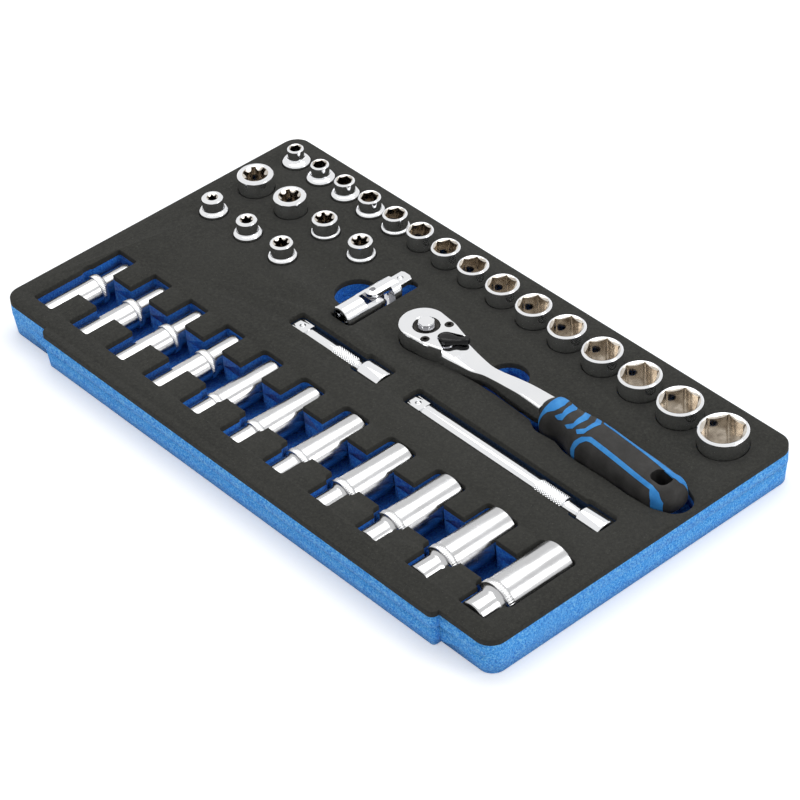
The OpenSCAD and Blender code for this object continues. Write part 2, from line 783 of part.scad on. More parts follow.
// Smooth body of the grip, drawn in by inset on every side
module grip_form(inset = 0) {
    for (i = [0:len(grip_plan) - 2]) hull() for (p = [grip_plan[i], grip_plan[i + 1]])
        handle_section(grip_x + p[0], grip_w * p[1] - inset, grip_h * p[2] - inset);
}

// Where the coloured rubber shows, seen from above: collar, three bars and two side lines
module inlay_zone() {
    translate([0, 0, handle_z]) linear_extrude(grip_h + 1) {
        difference() {
            translate([grip_x + 10, 0]) circle(13);
            translate([grip_x + 15, 0]) circle(14);
        }
        for (i = [0:2]) translate([grip_x + 13 + 6.5 * i, 0]) intersection() {
            difference() {
                translate([-10, 0]) circle(12.6);
                translate([-11.5, 0]) circle(11.6);
            }
            square([60, 11], center = true);
        }
        for (side = [-1, 1]) translate([grip_x + 38, side * 9.2 - 0.9]) square([grip_l - 50, 1.8]);
    }
}

module grip_inlays() {
    color("dodgerblue") difference() {
        intersection() {
            grip_form();
            inlay_zone();
        }
        grip_form(inlay_t);
        hang_hole();
        neck_socket();
    }
}

module hang_hole() {
    translate([hang_x - hang_l / 2, -hang_w / 2, handle_z - 2 * grip_h]) linear_extrude(4 * grip_h)
        round_box(hang_l, hang_w, hang_corner);
}

module grip() {
    color("#3a3532") difference() {
        grip_form();
        difference() {
            inlay_zone();
            grip_form(inlay_t);
        }
        tang(0.1);
        hang_hole();
        neck_socket();
    }
}

// Room in the grip's mouth for the end of the neck
module neck_socket() {
    last = neck_plan[len(neck_plan) - 1];
    before = neck_plan[len(neck_plan) - 2];
    hull() {
        handle_section(before[0], before[1] + 0.1, before[2] + 0.1);
        handle_section(last[0] + 0.1, last[1] + 0.1, last[2] + 0.1);
    }
}

module ratchet_place() {
    from_corner(gear_x, ratchet_y, head_show - head_h - plate_t) children();
}

// ---------- foam ----------

// Cuts a plan from the given depth to above the foam's top face
module cut(depth) {
    translate([0, 0, -depth]) linear_extrude(depth + 1) children();
}

// Pocket of a deep socket: narrow at the drive end, wide round the band
module deep_pocket(i) {
    s = deep_sizes[i];
    r = deep_max_r(s) + fit;
    drive_r = deep_end_r(s) + fit;
    room = 0.8;
    split = (small_deep(s) ? flange_z : band_z) - pocket_r + 0.5;
    wide_l = small_deep(s) ? band_l + 2 * pocket_r - 1 : deep_l - split + room;
    narrow_l = small_deep(s) ? deep_l + 2 * room : split + 2 * pocket_r;
    translate([-r, split - deep_l]) round_box(2 * r, wide_l, pocket_r);
    translate([-drive_r, -deep_l - room]) round_box(2 * drive_r, narrow_l, snug_r);
}

module notch(i) {
    from = deep_xs[i] + deep_radii[i] - pocket_r;
    to = deep_xs[i + 1] - deep_radii[i + 1] + pocket_r;
    from_corner(from, deep_y + notch_y + notch_l, 0) cut(deep_depth)
        round_box(to - from, notch_l, pocket_r);
}

module bar_pocket(l, d) {
    head = bar_head_d / 2 + fit;
    shaft = d / 2 + fit + shaft_room;
    translate([-1.5, -shaft]) round_box(l + 2, 2 * shaft, pocket_r);
    translate([l - bar_head - 3, -head]) round_box(bar_head + 3 + 1.5, 2 * head, pocket_r);
}

module joint_pocket() {
    r = uj_d / 2 + uj_room;
    translate([-r, -uj_front - 1]) round_box(2 * r, uj_front + uj_tip + 2.5, pocket_r);
    translate([-11.5, -2.5]) circle(uj_relief_r);
}

module ratchet_pockets() {
    head_depth = head_h + plate_t - head_show + fit;
    translate([0, 0, -head_depth]) taper_chain(head_depth + 1, head_plan, fit);
    cut(drive_depth) circle(sq_corner_d / 2 + 1);
    translate([0, 0, -grip_depth]) {
        taper_chain(grip_depth + 1, [for (p = neck_plan) [p[0], p[1]]], fit + 0.4);
        taper_chain(grip_depth + 1, [for (p = grip_plan) [grip_x + p[0], grip_w * p[1]]], fit + 0.2);
    }
    translate([grip_x - 37.5, 9, 0]) cut(grip_depth) circle(12);
}

module pockets() {
    for (i = [0:len(hex_sizes) - 1]) short_place(i) cylinder(h = tray_h, r = short_radii[i] + fit);
    for (i = [0:len(stars_back) - 1]) star_place(i, 0) cylinder(h = tray_h, r = star_r(stars_back[i]) + fit);
    for (i = [0:len(stars_front) - 1])
        star_place(i, 1) cylinder(h = tray_h, r = star_r(stars_front[i]) + fit);
    for (i = [0:len(deep_sizes) - 1]) from_corner(deep_xs[i], deep_y, 0) cut(deep_depth) deep_pocket(i);
    for (i = [0:len(deep_sizes) - 2]) notch(i);
    from_corner(bar_x, bar_y, 0) cut(bar_depth) bar_pocket(bar_s_l, bar_s_d);
    from_corner(bar_l_x, bar_y, 0) cut(bar_depth) bar_pocket(bar_l_l, bar_l_d);
    from_corner(uj_x, uj_y, 0) cut(uj_depth) joint_pocket();
    from_corner(gear_x, ratchet_y, 0) ratchet_pockets();
}

module tray_outline() {
    translate([-tray_l / 2, -tray_w / 2 + step_d]) round_box(tray_l, tray_w - step_d, corner_r);
    translate([-tray_l / 2 + step_left, -tray_w / 2])
        round_box(tray_l - step_left - step_right, tray_w / 2, step_r);
}

// One sheet of foam of thickness t whose underside is at height z
module sheet(z, t) {
    difference() {
        translate([0, 0, z]) linear_extrude(t) tray_outline();
        pockets();
    }
}

module base_sheet() { color("dodgerblue") sheet(0, base_t); }
module middle_sheet() { color("dodgerblue") sheet(base_t, mid_t); }
module top_sheet() { color("#3c3c39") sheet(base_t + mid_t, top_t); }

// ---------- the set ----------

base_sheet();
middle_sheet();
top_sheet();

for (i = [0:len(hex_sizes) - 1])
    short_place(i) short_hex(hex_sizes[i]);
for (i = [0:len(stars_back) - 1])
    star_place(i, 0) short_star(stars_back[i]);
for (i = [0:len(stars_front) - 1])
    star_place(i, 1) short_star(stars_front[i]);
for (i = [0:len(deep_sizes) - 1])
    deep_place(i) deep_hex(deep_sizes[i]);

short_bar_place() bar(bar_s_l, bar_s_d, bar_s_knurl, bar_s_neck);  // short_bar
short_bar_place() color("silver") ball_at();  // short_bar_ball
short_bar_place() color("gray") ball_spring_at();  // short_bar_spring
long_bar_place() bar(bar_l_l, bar_l_d, bar_l_knurl, bar_l_neck);  // long_bar
long_bar_place() color("silver") ball_at();  // long_bar_ball
long_bar_place() color("gray") ball_spring_at();  // long_bar_spring

joint_place() joint_socket_yoke();
joint_place() joint_cross();
joint_place() joint_drive_yoke();
joint_place() joint_tip_place() rotate([0, 0, 180]) color("silver") ball_at();  // joint_ball
joint_place() joint_tip_place() rotate([0, 0, 180]) color("gray") ball_spring_at();  // joint_spring

ratchet_place() ratchet_body();
ratchet_place() cover_plate();
ratchet_place() cover_screws();
ratchet_place() drive_gear();
ratchet_place() pawl();
ratchet_place() reverse_lever();
ratchet_place() release_button();
ratchet_place() button_spring();
ratchet_place() lock_ball();
ratchet_place() grip();
ratchet_place() grip_inlays();
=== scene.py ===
import json
import math

import bmesh
import bpy
from mathutils import Euler, Matrix, Vector
from mathutils.geometry import tessellate_polygon

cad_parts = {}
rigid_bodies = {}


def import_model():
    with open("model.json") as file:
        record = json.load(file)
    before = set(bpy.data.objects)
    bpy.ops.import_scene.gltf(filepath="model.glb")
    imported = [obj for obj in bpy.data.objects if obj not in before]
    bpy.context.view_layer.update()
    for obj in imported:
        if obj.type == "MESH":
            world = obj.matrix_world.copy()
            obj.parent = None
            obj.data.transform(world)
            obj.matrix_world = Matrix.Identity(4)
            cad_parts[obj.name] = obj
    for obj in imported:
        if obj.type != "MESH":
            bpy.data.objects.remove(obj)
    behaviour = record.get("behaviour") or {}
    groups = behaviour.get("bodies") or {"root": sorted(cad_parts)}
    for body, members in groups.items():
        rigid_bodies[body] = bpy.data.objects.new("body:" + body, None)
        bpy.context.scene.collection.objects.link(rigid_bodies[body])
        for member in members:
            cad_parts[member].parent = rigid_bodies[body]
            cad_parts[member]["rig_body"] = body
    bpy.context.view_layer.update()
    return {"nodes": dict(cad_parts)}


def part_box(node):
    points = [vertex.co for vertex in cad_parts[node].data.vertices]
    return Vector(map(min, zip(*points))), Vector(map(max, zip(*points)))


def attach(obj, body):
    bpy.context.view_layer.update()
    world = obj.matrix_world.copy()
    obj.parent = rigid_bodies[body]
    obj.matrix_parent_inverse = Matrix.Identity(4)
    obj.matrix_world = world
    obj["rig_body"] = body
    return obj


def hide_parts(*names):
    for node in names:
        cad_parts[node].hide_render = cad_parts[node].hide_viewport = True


# Foam tool tray: its parts are rebuilt round the CAD's boxes, then dressed and lit.

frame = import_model()
NODES = frame["nodes"]
BODY_OF = {name: obj["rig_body"] for name, obj in NODES.items()}
MM = 0.001
TO_METRES = Matrix.Scale(MM, 4)


# ---- material helpers ----

def srgb(r, g, b):
    """Linear colour from 0-255 screen values."""
    def linear(level):
        level = level / 255
        return level / 12.92 if level <= 0.04045 else ((level + 0.055) / 1.055) ** 2.4
    return (linear(r), linear(g), linear(b), 1.0)


BLACK = (0.0, 0.0, 0.0, 1.0)
WHITE = (1.0, 1.0, 1.0, 1.0)


class Tree:
    """Node tree of a material or a world."""

    def __init__(self, owner, output="OutputMaterial"):
        owner.use_nodes = True
        self.tree = owner.node_tree
        self.tree.nodes.clear()
        self.surface = self.node(output, {}).inputs["Surface"]

    def feed(self, socket, v):
        """Sets a constant on the socket itself, or links an output to it."""
        if isinstance(v, (int, float, tuple)):
            socket.default_value = v
        else:
            self.tree.links.new(v, socket)

    def node(self, kind, inputs, **props):
        """New ShaderNode of a kind; inputs maps a socket's name or number to a constant or output."""
        n = self.tree.nodes.new("ShaderNode" + kind)
        for key, v in props.items():
            setattr(n, key, v)
        for key, v in inputs.items():
            self.feed(n.inputs[key], v)
        return n

    def math(self, operation, a, b):
        return self.node("Math", {0: a, 1: b}, operation=operation).outputs[0]

    def seen(self):
        """1 for what the camera sees, also in mirrors or through glass, 0 for other rays."""
        path = self.node("LightPath", {})
        straight = self.math("MAXIMUM", path.outputs["Is Camera Ray"], path.outputs["Is Glossy Ray"])
        return self.math("MAXIMUM", straight, path.outputs["Is Transmission Ray"])


class Mat(Tree):
    """One material; its textures are sized in the object's own metres."""

    def __init__(self, name, **values):
        self.material = bpy.data.materials.new(name)
        super().__init__(self.material)
        self.bsdf = self.node("BsdfPrincipled", {})
        self.feed(self.surface, self.bsdf.outputs[0])
        self.coord = self.node("TexCoord", {}).outputs["Object"]
        self.set(**values)

    def set(self, **values):
        """Inputs of the shader, by their names with _ for a space."""
        for key, v in values.items():
            self.feed(self.bsdf.inputs[key.replace("_", " ")], v)

    def noise(self, scale, detail=2.0, rough=0.5):
        inputs = {"Vector": self.coord, "Scale": scale, "Detail": detail, "Roughness": rough}
        return self.node("TexNoise", inputs).outputs["Fac"]

    def cells(self, scale):
        """Distance from the middle of the nearest random cell."""
        inputs = {"Vector": self.coord, "Scale": scale}
        return self.node("TexVoronoi", inputs, feature="F1").outputs["Distance"]

    def ramp(self, fac, stops):
        """Colour from stops of (position, colour)."""
        n = self.node("ValToRGB", {"Fac": fac})
        while len(n.color_ramp.elements) < len(stops):
            n.color_ramp.elements.new(0.5)
        for element, (position, colour) in zip(n.color_ramp.elements, stops):
            element.position = position
            element.color = colour
        return n.outputs["Color"]

    def speckle(self, scale, start, end, strength):
        """Sparse soft dots, from 0 to strength."""
        dots = self.ramp(self.noise(scale, 1.0, 0.4), [(start, BLACK), (end, WHITE)])
        return self.math("MULTIPLY", dots, strength)

    def map(self, value, low, high, new_low, new_high):
        """Straight line from low..high to new_low..new_high, held at both ends."""
        inputs = {"Value": value, "From Min": low, "From Max": high, "To Min": new_low, "To Max": new_high}
        return self.node("MapRange", inputs).outputs["Result"]

    def mix(self, fac, a, b):
        return self.node("Mix", {0: fac, 6: a, 7: b}, data_type="RGBA").outputs[2]

    def bump(self, height, strength, distance, **normal):
        """Relief of a height, over the Normal of another relief where one is given."""
        inputs = {"Strength": strength, "Distance": distance, "Height": height, **normal}
        return self.node("Bump", inputs).outputs["Normal"]


# ---- materials ----

def foam_blue(name="blue_foam", shade=(1.0, 1.0, 1.0)):
    """Cut foam, full of pores; a shade under 1 darkens it as painted shade, for the walls inside pockets and
    slots.
    """
    def blue(*screen):
        return srgb(*(level * part for level, part in zip(screen, shade)))
    m = Mat(name, Specular_IOR_Level=0.12, Sheen_Weight=0.1, Sheen_Roughness=0.5)
    fine = m.noise(2600.0, 3.0, 0.6)
    broad = m.noise(45.0, 3.0, 0.5)
    mottle = m.noise(1000.0, 4.0, 0.7)
    depth = m.map(m.cells(850.0), 0.05, 0.65, 0.0, 1.0)
    low, mid, high = blue(30, 112, 208), blue(68, 166, 250), blue(142, 212, 255)
    col = m.ramp(mottle, [(0.36, low), (0.5, mid), (0.64, high)])
    # Pores darker towards their middles: painted shade in the pores
    col = m.mix(m.map(depth, 0.0, 0.45, 0.45, 0.0), col, blue(28, 92, 180))
    col = m.mix(m.map(broad, 0.35, 0.7, 0.0, 0.18), col, blue(120, 186, 246))
    col = m.mix(m.speckle(1500.0, 0.70, 0.76, 0.45), col, blue(160, 200, 238))
    m.set(Base_Color=col)
    m.set(Roughness=m.map(fine, 0.3, 0.7, 0.72, 0.95))
    m.set(Normal=m.bump(depth, 0.5, 0.0005, Normal=m.bump(fine, 0.35, 0.0003)))
    return m.material


def foam_black():
    """Smooth skin of the top sheet."""
    m = Mat("black_foam", Specular_IOR_Level=0.12, Sheen_Weight=0.04, Sheen_Roughness=0.6)
    fine = m.noise(3200.0, 3.0, 0.65)
    mottle = m.noise(600.0, 4.0, 0.6)
    broad = m.noise(18.0, 3.0, 0.5)
    col = m.ramp(mottle, [(0.30, srgb(40, 40, 38)), (0.55, srgb(50, 50, 47)), (0.75, srgb(59, 59, 55))])
    col = m.mix(m.map(broad, 0.35, 0.7, 0.0, 0.3), col, srgb(60, 60, 57))
    col = m.mix(m.speckle(1900.0, 0.72, 0.78, 0.4), col, srgb(112, 112, 108))
    m.set(Base_Color=col)
    m.set(Roughness=m.map(fine, 0.3, 0.7, 0.7, 0.92))
    m.set(Normal=m.bump(mottle, 0.25, 0.0004, Normal=m.bump(fine, 0.4, 0.0002)))
    return m.material


def chrome(name, tint, low, high):
    """Plated metal; low and high are the ends of its roughness."""
    m = Mat(name, Metallic=1.0)
    smudge = m.noise(70.0, 4.0, 0.6)
    worn = (tint[0] * 0.86, tint[1] * 0.87, tint[2] * 0.9, 1.0)
    m.set(Base_Color=m.mix(m.map(smudge, 0.3, 0.75, 0.0, 0.35), (*tint, 1.0), worn))
    m.set(Roughness=m.map(smudge, 0.3, 0.75, low, high))
    m.set(Normal=m.bump(m.noise(900.0), 0.04, 0.00004))
    return m.material


def bare_metal(name, dark, light, patches, grain_size, low, high, relief):
    """Unplated metal, with patches between two screen colours under a fine grain."""
    m = Mat(name, Metallic=1.0)
    grain = m.noise(grain_size, 3.0, 0.6)
    m.set(Base_Color=m.ramp(m.noise(patches, 3.0, 0.5), [(0.3, srgb(*dark)), (0.7, srgb(*light))]))
    m.set(Roughness=m.map(grain, 0.3, 0.7, low, high))
    m.set(Normal=m.bump(grain, relief, 0.00005))
    return m.material


def plastic_black():
    """Glossy plastic of the reverse lever."""
    m = Mat("lever_black", Specular_IOR_Level=0.15, Coat_Weight=0.1, Coat_Roughness=0.08)
    grain = m.noise(1500.0, 3.0, 0.5)
    m.set(Base_Color=m.ramp(m.noise(160.0, 3.0, 0.5), [(0.3, srgb(14, 14, 15)), (0.7, srgb(24, 24, 25))]))
    m.set(Roughness=m.map(grain, 0.3, 0.7, 0.18, 0.3))
    m.set(Normal=m.bump(grain, 0.05, 0.00005))
    return m.material


def rubber(name, dark, mid, light):
    """Moulded rubber, mottled between three screen colours."""
    m = Mat(name, Specular_IOR_Level=0.16, Sheen_Weight=0.03)
    grain = m.noise(2200.0, 3.0, 0.6)
    stops = [(0.3, srgb(*dark)), (0.5, srgb(*mid)), (0.72, srgb(*light))]
    m.set(Base_Color=m.ramp(m.noise(130.0, 4.0, 0.6), stops))
    m.set(Roughness=m.map(grain, 0.3, 0.7, 0.42, 0.6))
    m.set(Normal=m.bump(grain, 0.2, 0.0001))
    return m.material


MATS = {
    "blue_foam": foam_blue(),
    # Darker blue foam as painted shade on the walls inside pockets
    "blue_painted_pocket_shade": foam_blue("blue_painted_pocket_shade", (0.38, 0.58, 0.76)),
    "blue_shade": foam_blue("blue_shade", (0.2, 0.24, 0.28)),
    "black_foam": foam_black(),
    "chrome": chrome("chrome", (0.83, 0.835, 0.845), 0.05, 0.11),
    "satin_chrome": chrome("satin_chrome", (0.56, 0.56, 0.565), 0.14, 0.3),
    "steel": bare_metal("steel", (120, 120, 124), (160, 160, 164), 120.0, 1200.0, 0.22, 0.4, 0.1),
    "recess": bare_metal("recess", (178, 170, 160), (218, 212, 203), 220.0, 1500.0, 0.08, 0.16, 0.06),
    # Near black steel: painted shade in the screw holes and on the gear's ring in the window round the
    # button
    "dark_steel_painted_shade": bare_metal("dark_steel_painted_shade", (30, 29, 28), (60, 58, 56), 300.0, 1400.0, 0.25, 0.42, 0.12),
    "lever_black": plastic_black(),
    "grip_rubber": rubber("grip_rubber", (42, 41, 40), (50, 49, 48), (60, 59, 58)),
    "inlay_rubber": rubber("inlay_rubber", (42, 118, 188), (54, 134, 204), (72, 150, 216)),
}
# What the CAD nodes are made of; springs are steel, the screws near black as painted shade, and the rest is
# chrome
MATERIAL_OF = {
    "base_sheet": "blue_foam", "middle_sheet": "blue_foam", "top_sheet": "black_foam",
    "reverse_lever": "lever_black", "grip": "grip_rubber", "grip_inlays": "inlay_rubber",
    "cover_screws": "dark_steel_painted_shade", "joint_cross": "steel", "pawl": "steel", "drive_gear": "steel",
}


def dress_nodes():
    """Gives every CAD node its material, for those that stay visible."""
    for name, obj in NODES.items():
        other = "steel" if name.endswith("_spring") else "chrome"
        obj.data.materials.clear()
        obj.data.materials.append(MATS[MATERIAL_OF.get(name, other)])


# ---- mesh helpers ----

def new_object(name, data):
    obj = bpy.data.objects.new(name, data)
    bpy.context.scene.collection.objects.link(obj)
    return obj


def mesh_of(name, bm):
    """Mesh of a bmesh, all its faces turned outward."""
    bmesh.ops.recalc_face_normals(bm, faces=bm.faces)
    mesh = bpy.data.meshes.new(name)
    bm.to_mesh(mesh)
    bm.free()
    return mesh


def add_piece(node, ending, bm, material, sharp=35.0):
    """Smooth shaded piece from a bmesh in metres, riding on the node's body."""
    name = node + "_" + ending
    obj = new_object(name, mesh_of(name, bm))
    obj.data.materials.append(MATS[material])
    smooth(obj, sharp)
    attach(obj, BODY_OF[node])
    return obj


def smooth(obj, sharp=35.0):
    """Smooth shading, apart from edges over sharp degrees."""
    obj.data.shade_smooth()
    obj.data.set_sharp_from_angle(angle=math.radians(sharp))


def painted(obj, material, chosen):
    """Gives the faces that chosen(face) picks another material."""
    obj.data.materials.append(MATS[material])
    last = len(obj.data.materials) - 1
    for face in obj.data.polygons:
        if chosen(face):
            face.material_index = last


def node_bmesh(name):
    """Copy of a CAD node's mesh, in metres."""
    bm = bmesh.new()
    bm.from_mesh(NODES[name].data)
    bm.transform(NODES[name].matrix_world)
    bmesh.ops.remove_doubles(bm, verts=bm.verts, dist=1e-7)
    bm.normal_update()
    return bm


def strip(bm, low, high):
    """Faces between two closed rows with as many points."""
    for k in range(len(low)):
        n = (k + 1) % len(low)
        bm.faces.new((low[k], low[n], high[n], high[k]))


def tube_mesh(rows, place):
    """Closed tube through rows of points in mm, capped at both ends."""
    bm = bmesh.new()
    rings = [[bm.verts.new(place @ Vector(p)) for p in row] for row in rows]
    for low, high in zip(rings, rings[1:]):
        strip(bm, low, high)
    bm.faces.new(rings[0])
    bm.faces.new(rings[-1])
    return bm


def value(v, angle):
    """A number, or what a function of the angle gives."""
    return v(angle) if callable(v) else v


def ring_points(radius, height, steps):
    """Ring in mm; radius and height are each a number or a function of the angle."""
    points = []
    for k in range(steps):
        a = 2 * math.pi * k / steps
        r = value(radius, a)
        points.append((r * math.cos(a), r * math.sin(a), value(height, a)))
    return points


def turned_solid(rings, place, steps):
    """Solid through rings of (radius, height), with a flat cap at each end."""
    return tube_mesh([ring_points(*ring, steps) for ring in rings], place)


def turned_shell(rings, place, steps):
    """Solid through rings of (radius, height), the last joined to the first round an open hole."""
    bm = bmesh.new()
    rows = [[bm.verts.new(place @ Vector(p)) for p in ring_points(*ring, steps)] for ring in rings]
    for low, high in zip(rows, rows[1:] + rows[:1]):
        strip(bm, low, high)
    return bm


def boolean(obj, bm, operation):
    """Applies a boolean with a throwaway tool made from a bmesh."""
    mesh = mesh_of("tool", bm)
    tool = new_object("tool", mesh)
    modifier = obj.modifiers.new("boolean", "BOOLEAN")
    modifier.operation = operation
    modifier.solver = "EXACT"
    modifier.object = tool
    apply_modifiers(obj)
    bpy.data.objects.remove(tool)
    bpy.data.meshes.remove(mesh)


def apply_modifiers(obj):
    """Puts the evaluated mesh in place of the object's own."""
    bpy.context.view_layer.update()
    graph = bpy.context.evaluated_depsgraph_get()
    mesh = bpy.data.meshes.new_from_object(obj.evaluated_get(graph))
    obj.modifiers.clear()
    old = obj.data
    obj.data = mesh
    bpy.data.meshes.remove(old)


def cut(obj, bm):
    boolean(obj, bm, "DIFFERENCE")


def weld(obj, bm):
    boolean(obj, bm, "UNION")


# ---- outlines ----

def bend(before, here, after, reach, steps):
    """Points that round the corner here, from reach before it to reach after it."""
    a = here + (before - here).normalized() * reach
    b = here + (after - here).normalized() * reach
    points = []
    for i in range(steps + 1):
        t = i / steps
        points.append(a * (1 - t) ** 2 + here * 2 * t * (1 - t) + b * t * t)
    return points


def soften(points, radius=0.3, steps=3):
    """Rounds the corners of an open line of (radius, height) points."""
    out = [points[0]]
    for corner in zip(points, points[1:], points[2:]):
        before, here, after = (Vector(p) for p in corner)
        reach = min(radius, (before - here).length * 0.45, (after - here).length * 0.45)
        out += [tuple(p) for p in bend(before, here, after, reach, steps)]
    out.append(points[-1])
    return out


def arc(centre_r, centre_z, radius, start, end, steps=8):
    """Points of an arc in the (radius, height) plane, angles in degrees."""
    points = []
    for i in range(steps + 1):
        a = math.radians(start + (end - start) * i / steps)
        points.append((centre_r + radius * math.cos(a), centre_z + radius * math.sin(a)))
    return points


def spread(start, end, step):
    """Even stops from start to end, about step apart."""
    count = max(1, round((end - start) / step))
    return [start + (end - start) * i / count for i in range(count + 1)]


def rise(x, start, end):
    """0 at start and before it, 1 at end and past it, straight between; end may lie below start."""
    return max(0.0, min(1.0, (x - start) / (end - start)))


def fold(a, step):
    """Angle from the nearest multiple of step."""
    return (a + step / 2) % step - step / 2


def curve_row(rows, x):
    """Values of rows (x, ...) at x, on a smooth curve through the rows."""
    i = max(1, min(len(rows) - 1, sum(row[0] < x for row in rows)))
    a, b = rows[i - 1], rows[i]
    before = rows[i - 2] if i > 1 else a
    after = rows[i + 1] if i + 1 < len(rows) else b
    span = b[0] - a[0]
    t = (x - a[0]) / span
    out = []
    for k in range(1, len(a)):
        leave = (b[k] - before[k]) / (b[0] - before[0]) * span
        arrive = (after[k] - a[k]) / (after[0] - a[0]) * span
        out.append((2 * t ** 3 - 3 * t ** 2 + 1) * a[k] + (t ** 3 - 2 * t ** 2 + t) * leave
                   + (3 * t ** 2 - 2 * t ** 3) * b[k] + (t ** 3 - t ** 2) * arrive)
    return out


def oval(angle, n):
    """Point of a rounded box curve with half sizes 1; n = 2 is an ellipse."""
    c, s = math.cos(angle), math.sin(angle)
    return math.copysign(abs(c) ** (2 / n), c), math.copysign(abs(s) ** (2 / n), s)


def oval_ring(x, half, low, high, n, steps=64):
    """Section across the X axis, half to each side and from low to high."""
    middle, tall = (low + high) / 2, (high - low) / 2
    ring = []
    for k in range(steps):
        c, s = oval(2 * math.pi * k / steps, n)
        ring.append((x, half * c, middle + tall * s))
    return ring


def turn(degrees, axis):
    return Matrix.Rotation(math.radians(degrees), 4, axis)


# ---- what sockets and bars share, in mm ----

# Male square and the radius its corners are turned down to, female square and its depth
SQUARE = 9.5
SQUARE_TURNED = 6.25
SQUARE_HOLE = 9.65
SQUARE_DEPTH = 11.5
# Ball groove inside the female square, with its two edges' depths
GROOVE_R = SQUARE_HOLE / 2 + 0.5
GROOVE_START = 3.9
GROOVE_END = 6.7
GROOVE_SLOPE = 0.3
# Lead-in of the square, and where the flat drive face starts outside it
LEAD_R = SQUARE_HOLE / 2 + 1.3
FACE_R = LEAD_R + 0.2
# Bevel of outer edges
EDGE = 0.6
# Least height between two rings
RING_GAP = 0.02
# Play between a hole and what turns or slides in it
PLAY = 0.05
# How far a cutter reaches past the face it opens
PAST = 1.0
# Sides of round shapes
TURNED_STEPS = 240
CUTTER_STEPS = 72
SMALL_STEPS = 48
CAP_STEPS = 96


def square_hole_r(a):
    return SQUARE_HOLE / 2 / math.cos(fold(a, math.pi / 2))


def square_bar_r(a):
    return min(SQUARE / 2 / math.cos(fold(a, math.pi / 2)), SQUARE_TURNED)


def square_tip_r(a):
    return min(square_bar_r(a), SQUARE_TURNED - 1)


def square_mouth(z, inward):
    """Rings of a female square from its mouth at height z; inward is +1 or -1."""
    def lead_r(a):
        return max(square_hole_r(a), LEAD_R)

    def lead_end(a):
        return z + inward * max(RING_GAP, LEAD_R - square_hole_r(a))

    def grooved_r(a):
        return max(square_hole_r(a), GROOVE_R)
    walls = ((GROOVE_START, square_hole_r), (GROOVE_START + GROOVE_SLOPE, grooved_r),
             (GROOVE_END - GROOVE_SLOPE, grooved_r), (GROOVE_END, square_hole_r),
             (SQUARE_DEPTH, square_hole_r))
    mouth = [(lead_r, z), (square_hole_r, lead_end)]
    return mouth + [(radius, z + inward * depth) for depth, radius in walls]


# ---- sockets, in mm, drive face on height 0 ----

# Bore between the bolt end and the square: its radius, or this share of a small bolt end's
BORE_R = 3.0
BORE_SHARE = 0.9
# Wall over the corners of the bolt end
WALL_MIN = 1.25
WALL_GROW = 0.033
# Relief in the corners of a hexagon: its radius and its centre as shares of the corner's radius
RELIEF_R = 0.07
RELIEF_CENTRE = 0.955
# Star shape, as shares of the width over its points: ridge radius, valley radius
RIDGE_R = 0.17
VALLEY_R = 0.358
# Lead-in of the bolt end
BOLT_LEAD = 0.3
BOLT_LEAD_SLOPE = 0.7
# Short sockets: length, length out of the foam, wide base, its show, largest hex size with one
SHORT_L = 28.0
SHORT_SHOW = 10.3
BASE_R = 8.5
BASE_SHOW = 1.3
BASE_MAX_SIZE = 10
HEX_STEPS = 144
STAR_STEPS = 288
# Star sockets: width over the points, outside diameter
STARS = {"e16": (14.8, 21.6), "e14": (12.9, 19.6), "e12": (11.2, 15.1), "e11": (10.1, 14.5),
         "e07": (6.2, 12.7), "e08": (7.5, 12.6), "e10": (9.4, 13.6)}
# Deep sockets: length, drive end, bore behind the bolt end as a share of its size
DEEP_L = 60.0
DEEP_DRIVE_R = 8.0
WIDE_BORE = 0.46
# From this size on the drive end is this share of the tip's radius
WIDE_SIZE = 16
WIDE_DRIVE = 0.755
# Knurled band, which is a flange on the thin ones, and its teeth
BAND_L = 4.0
BAND_Z = 15.3
BAND_OUT = 0.25
BAND_STEP = 0.3
FLANGE_Z = 35.3
FLANGE_R = 9.0
TEETH = 60
TOOTH_DEPTH = 0.28
TOOTH_END = 0.35


def wall_r(size):
    """Outside radius over a bolt end."""
    return size / math.sqrt(3) + WALL_MIN + WALL_GROW * size


def hex_r(across_flats):
    """Radius by angle of a hexagon with relieved corners."""
    corner = across_flats / math.sqrt(3)
    relief = corner * RELIEF_R
    centre = corner * RELIEF_CENTRE

    def radius(a):
        d = abs(fold(a, math.pi / 3))
        flat = across_flats / 2 / math.cos(math.pi / 6 - d)
        side = centre * math.sin(d)
        if side >= relief:
            return flat
        return max(flat, centre * math.cos(d) + math.sqrt(relief ** 2 - side ** 2))
    return radius


def star_r(over_points):
    """Radius by angle of a six-pointed star with round ridges between its points."""
    ridge = over_points * RIDGE_R
    centre = over_points * VALLEY_R + ridge

    def radius(a):
        d = abs(fold(a, math.pi / 3))
        side = centre * math.sin(d)
        if side >= ridge:
            return over_points / 2
        return min(over_points / 2, centre * math.cos(d) - math.sqrt(ridge ** 2 - side ** 2))
    return radius


def bolt_recess(length, depth, radius, corner):
    """Rings of the bolt end's recess, from the face at the tip down to the recess's floor."""
    lead_r = corner + BOLT_LEAD

    def lead_end(a):
        return length - max(RING_GAP, lead_r - radius(a)) * BOLT_LEAD_SLOPE
    return [(lead_r, length), (radius, lead_end), (radius, length - depth)]


def turned_piece(name, place, outside, inside, steps, material="chrome"):
    """A socket: rings outside, rings inside from the tip to the square, then the square's own."""
    rings = outside + inside + list(reversed(square_mouth(0.0, 1)))
    obj = add_piece(name, "turned", turned_shell(rings, place, steps), material)
    first = len(outside) * steps
    last = (len(outside) + len(inside)) * steps
    painted(obj, "recess", lambda face: first <= face.index < last)
    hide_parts(name)


def upright_place(name):
    """Axes of a short socket, which stands on its drive face."""
    low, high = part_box(name)
    foot = ((low.x + high.x) / 2, (low.y + high.y) / 2, low.z)
    return Matrix.Translation(foot) @ TO_METRES


